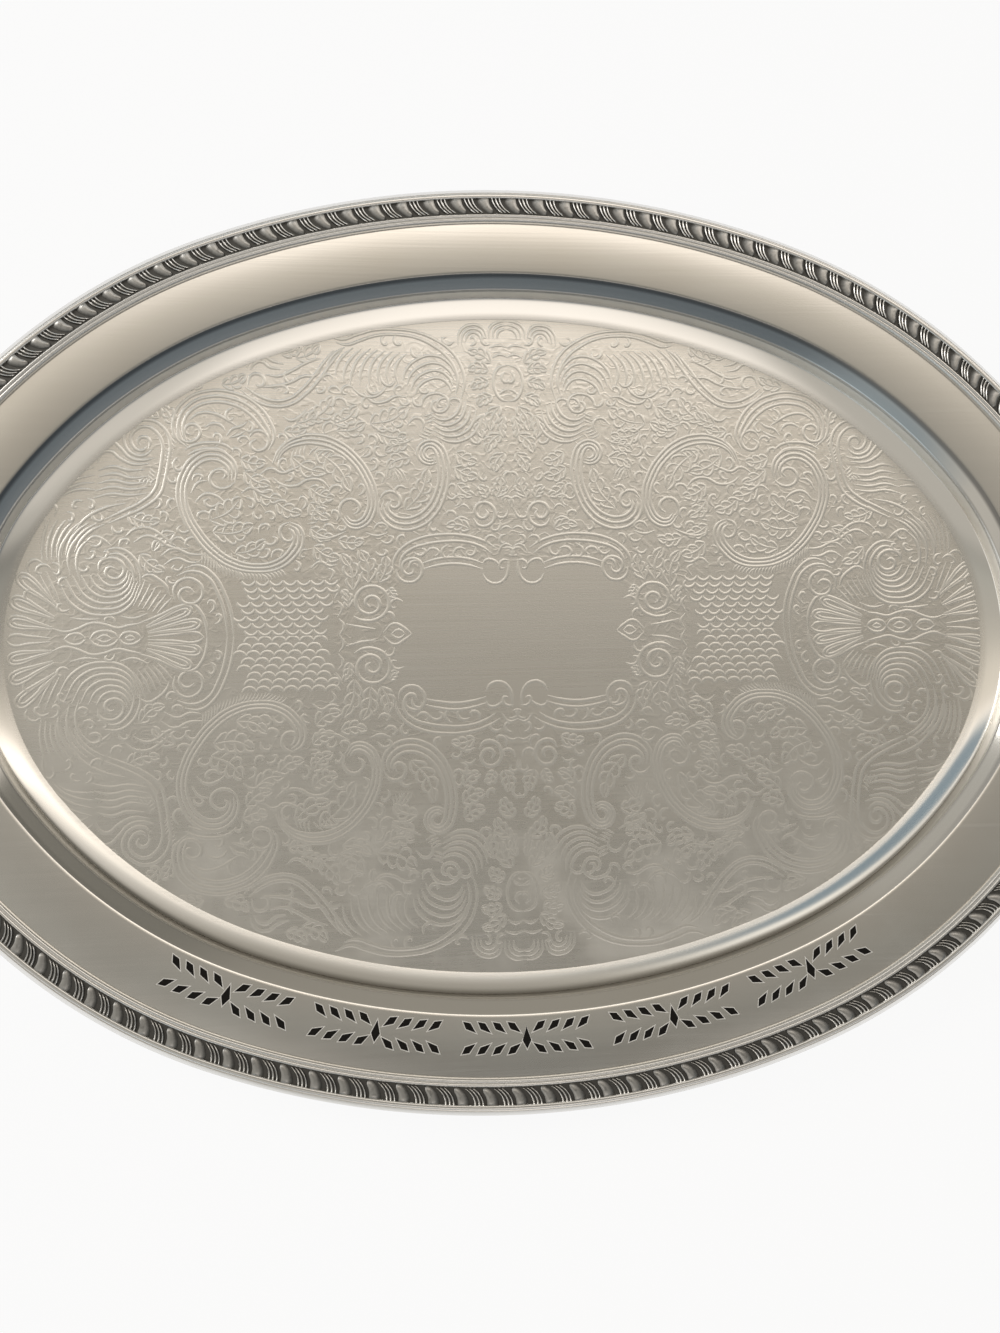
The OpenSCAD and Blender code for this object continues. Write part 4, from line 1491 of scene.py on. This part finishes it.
class SERVING_TRAY_OT_stage(bpy.types.Operator):
    """Sets the pale floor, the soft light and the camera"""

    bl_idname = "serving_tray.stage"
    bl_label = "Stage"

    def execute(self, context):
        scene = context.scene
        scene.view_settings.view_transform = "Standard"
        self.floor(scene.tray_colours)
        self.sky(scene)
        self.lamp(
            "window_lamp", place=(-1.35, 0.75, 0.95), size=(0.8, 0.6), power=6.0, colour=(1.0, 0.98, 0.95))
        self.camera(scene)
        return {"FINISHED"}

    def floor(self, colours):
        """A wide round floor just under the tray, matt in its light and white as it is seen"""
        bm = bmesh.new()
        bmesh.ops.create_circle(bm, cap_ends=True, segments=96, radius=FLOOR_RADIUS)
        bmesh.ops.translate(bm, verts=bm.verts, vec=-FLOOR_GAP * UP)
        ground = new_piece("stage_floor", bm)
        material, nodes = new_material("pale_floor")
        grain = nodes.noise(nodes.coordinates(), 40.0, 2.0)
        tone = nodes.mix(grain * 0.3, colours.ground, (0.97, 0.97, 0.965))
        matt = nodes.node("ShaderNodeBsdfDiffuse", sockets={"Color": tone})
        white = nodes.node("ShaderNodeEmission", sockets={"Color": (1.0, 1.0, 1.0)})
        rays = nodes.node("ShaderNodeLightPath", output="Is Camera Ray")
        rays = rays + nodes.node("ShaderNodeLightPath", output="Is Glossy Ray")
        seen = nodes.node("ShaderNodeMixShader", sockets={0: rays * colours.floor_white, 1: matt, 2: white})
        nodes.node("ShaderNodeOutputMaterial", sockets={"Surface": seen})
        ground.data.materials.append(material)

    def sky(self, scene):
        """Bands of light and dark from front to back, other tones in its corners, and a white horizon"""
        world = bpy.data.worlds.new("studio")
        world.use_nodes = True
        scene.world = world
        nodes = Nodes(world.node_tree)
        rise = nodes.rise
        x, y, z = nodes.split(nodes.node("ShaderNodeTexCoord", output="Generated"))
        bands = nodes.node("ShaderNodeValToRGB", {"stops": SKY_BANDS}, {"Fac": y * 0.5 + 0.5})
        glow = rise(x, -0.2, -0.45) * rise(y, 0.4, 0.2) * 0.45 + 1.0
        bands = nodes.node("ShaderNodeVectorMath", {"operation": "SCALE"}, {"Vector": bands, "Scale": glow})
        front_left = rise(x, 0.05, -0.18) * rise(y, -0.1, -0.28)
        front_right = rise(x, 0.12, 0.36) * rise(y, -0.15, -0.3)
        back_left = rise(x, -0.1, -0.3) * rise(y, 0.35, 0.6)
        back_right = rise(x, 0.2, 0.4) * rise(y, 0.5, 0.65) * rise(z, 0.6, 0.5)
        strip = rise(x, 0.08, -0.02) * rise(y, 0.4, 0.5)
        white_strip = strip * rise(z, 0.69, 0.67) * rise(z, 0.6, 0.63)
        blue_strip = strip * rise(z, 0.83, 0.8) * rise(z, 0.66, 0.7)
        left_end = rise(x, -0.82, -0.92)
        front_side = rise(z, 0.68, 0.58) * rise(x * 0.6 - y * 0.8, 0.05, 0.25) * rise(z, 0.1, 0.3)
        horizon = rise(z, 0.14, 0.05) * rise(y, 0.6, 0.2) * rise(y, -0.97, -0.85)
        blue = nodes.mix(rise(z, 0.56, 0.3), (0.1, 0.12, 0.135), (0.25, 0.265, 0.275))
        glint = nodes.mix(rise(z, 0.5, 0.43) * rise(z, 0.24, 0.3), (0.24, 0.28, 0.3), (0.8, 0.9, 0.95))
        colour = nodes.tints(
            bands,
            (front_left, (0.48, 0.455, 0.41)),
            (back_left, (0.44, 0.425, 0.39)),
            (white_strip, (1.2, 1.15, 1.06)),
            (blue_strip, (0.24, 0.31, 0.36)),
            (back_right, (0.2, 0.19, 0.165)),
            (front_right * 0.85, (0.55, 0.52, 0.47)),
            (left_end, (1.15, 1.13, 1.08)),
            (front_side, nodes.mix(rise(x, -0.2, -0.4), blue, glint)),
            (horizon, (1.05, 1.04, 1.02)),
            (nodes.node("ShaderNodeLightPath", output="Is Camera Ray"), (1.0, 1.0, 1.0)))
        light = nodes.node("ShaderNodeBackground", sockets={"Color": colour})
        nodes.node("ShaderNodeOutputWorld", sockets={"Surface": light})

    def lamp(self, name, place, size, power, colour):
        """A soft rectangular lamp that faces the tray"""
        light = bpy.data.lights.new(name, "AREA")
        light.shape = "RECTANGLE"
        light.size, light.size_y = size
        light.energy = power
        light.color = colour
        lamp = bpy.data.objects.new(name, light)
        lamp.location = place
        lamp.rotation_euler = Vector(place).to_track_quat("Z", "Y").to_euler()
        bpy.context.scene.collection.objects.link(lamp)

    def camera(self, scene):
        """The photograph's camera, squared up on its line of sight"""
        look = CAMERA_LOOK.normalized()
        right = (CAMERA_RIGHT - look * CAMERA_RIGHT.dot(look)).normalized()
        turn = Matrix((right, right.cross(look), -look)).transposed().to_4x4()
        data = bpy.data.cameras.new("photo_camera")
        data.sensor_width = 36.0
        data.lens = FOCAL_PIXELS * data.sensor_width / FRAME_PIXELS
        data.clip_start = 0.01
        camera = bpy.data.objects.new("photo_camera", data)
        camera.matrix_world = Matrix.Translation(CAMERA_PLACE) @ turn
        scene.collection.objects.link(camera)
        scene.camera = camera


class SERVING_TRAY_PT_sidebar(bpy.types.Panel):
    """Lists the tray's pieces and sizes"""

    bl_label = "Oval Serving Tray"
    bl_idname = "SERVING_TRAY_PT_sidebar"
    bl_space_type = "VIEW_3D"
    bl_region_type = "UI"
    bl_category = "Tray"

    def draw(self, context):
        for operator in OPERATORS:
            self.layout.operator(operator.bl_idname)
        for group in (context.scene.tray_shape, context.scene.tray_colours):
            box = self.layout.box()
            for name in group.__annotations__:
                box.prop(group, name)


OPERATORS = (
    SERVING_TRAY_OT_body,
    SERVING_TRAY_OT_inlay,
    SERVING_TRAY_OT_border,
    SERVING_TRAY_OT_scrolls,
    SERVING_TRAY_OT_shells,
    SERVING_TRAY_OT_leaves,
    SERVING_TRAY_OT_curls,
    SERVING_TRAY_OT_centre,
    SERVING_TRAY_OT_stage,
)
CLASSES = (TrayShape, TrayColours, *OPERATORS, SERVING_TRAY_PT_sidebar)


def register():
    for made in CLASSES:
        bpy.utils.register_class(made)
    bpy.types.Scene.tray_shape = bpy.props.PointerProperty(type=TrayShape)
    bpy.types.Scene.tray_colours = bpy.props.PointerProperty(type=TrayColours)


def unregister():
    del bpy.types.Scene.tray_shape
    del bpy.types.Scene.tray_colours
    for made in reversed(CLASSES):
        bpy.utils.unregister_class(made)


def main():
    register()
    bpy.ops.serving_tray.stage()
    bpy.ops.serving_tray.body()
    bpy.ops.serving_tray.inlay()
    bpy.ops.serving_tray.border()
    bpy.ops.serving_tray.scrolls()
    bpy.ops.serving_tray.shells()
    bpy.ops.serving_tray.leaves()
    bpy.ops.serving_tray.curls()
    bpy.ops.serving_tray.centre()


if __name__ == "__main__":
    main()
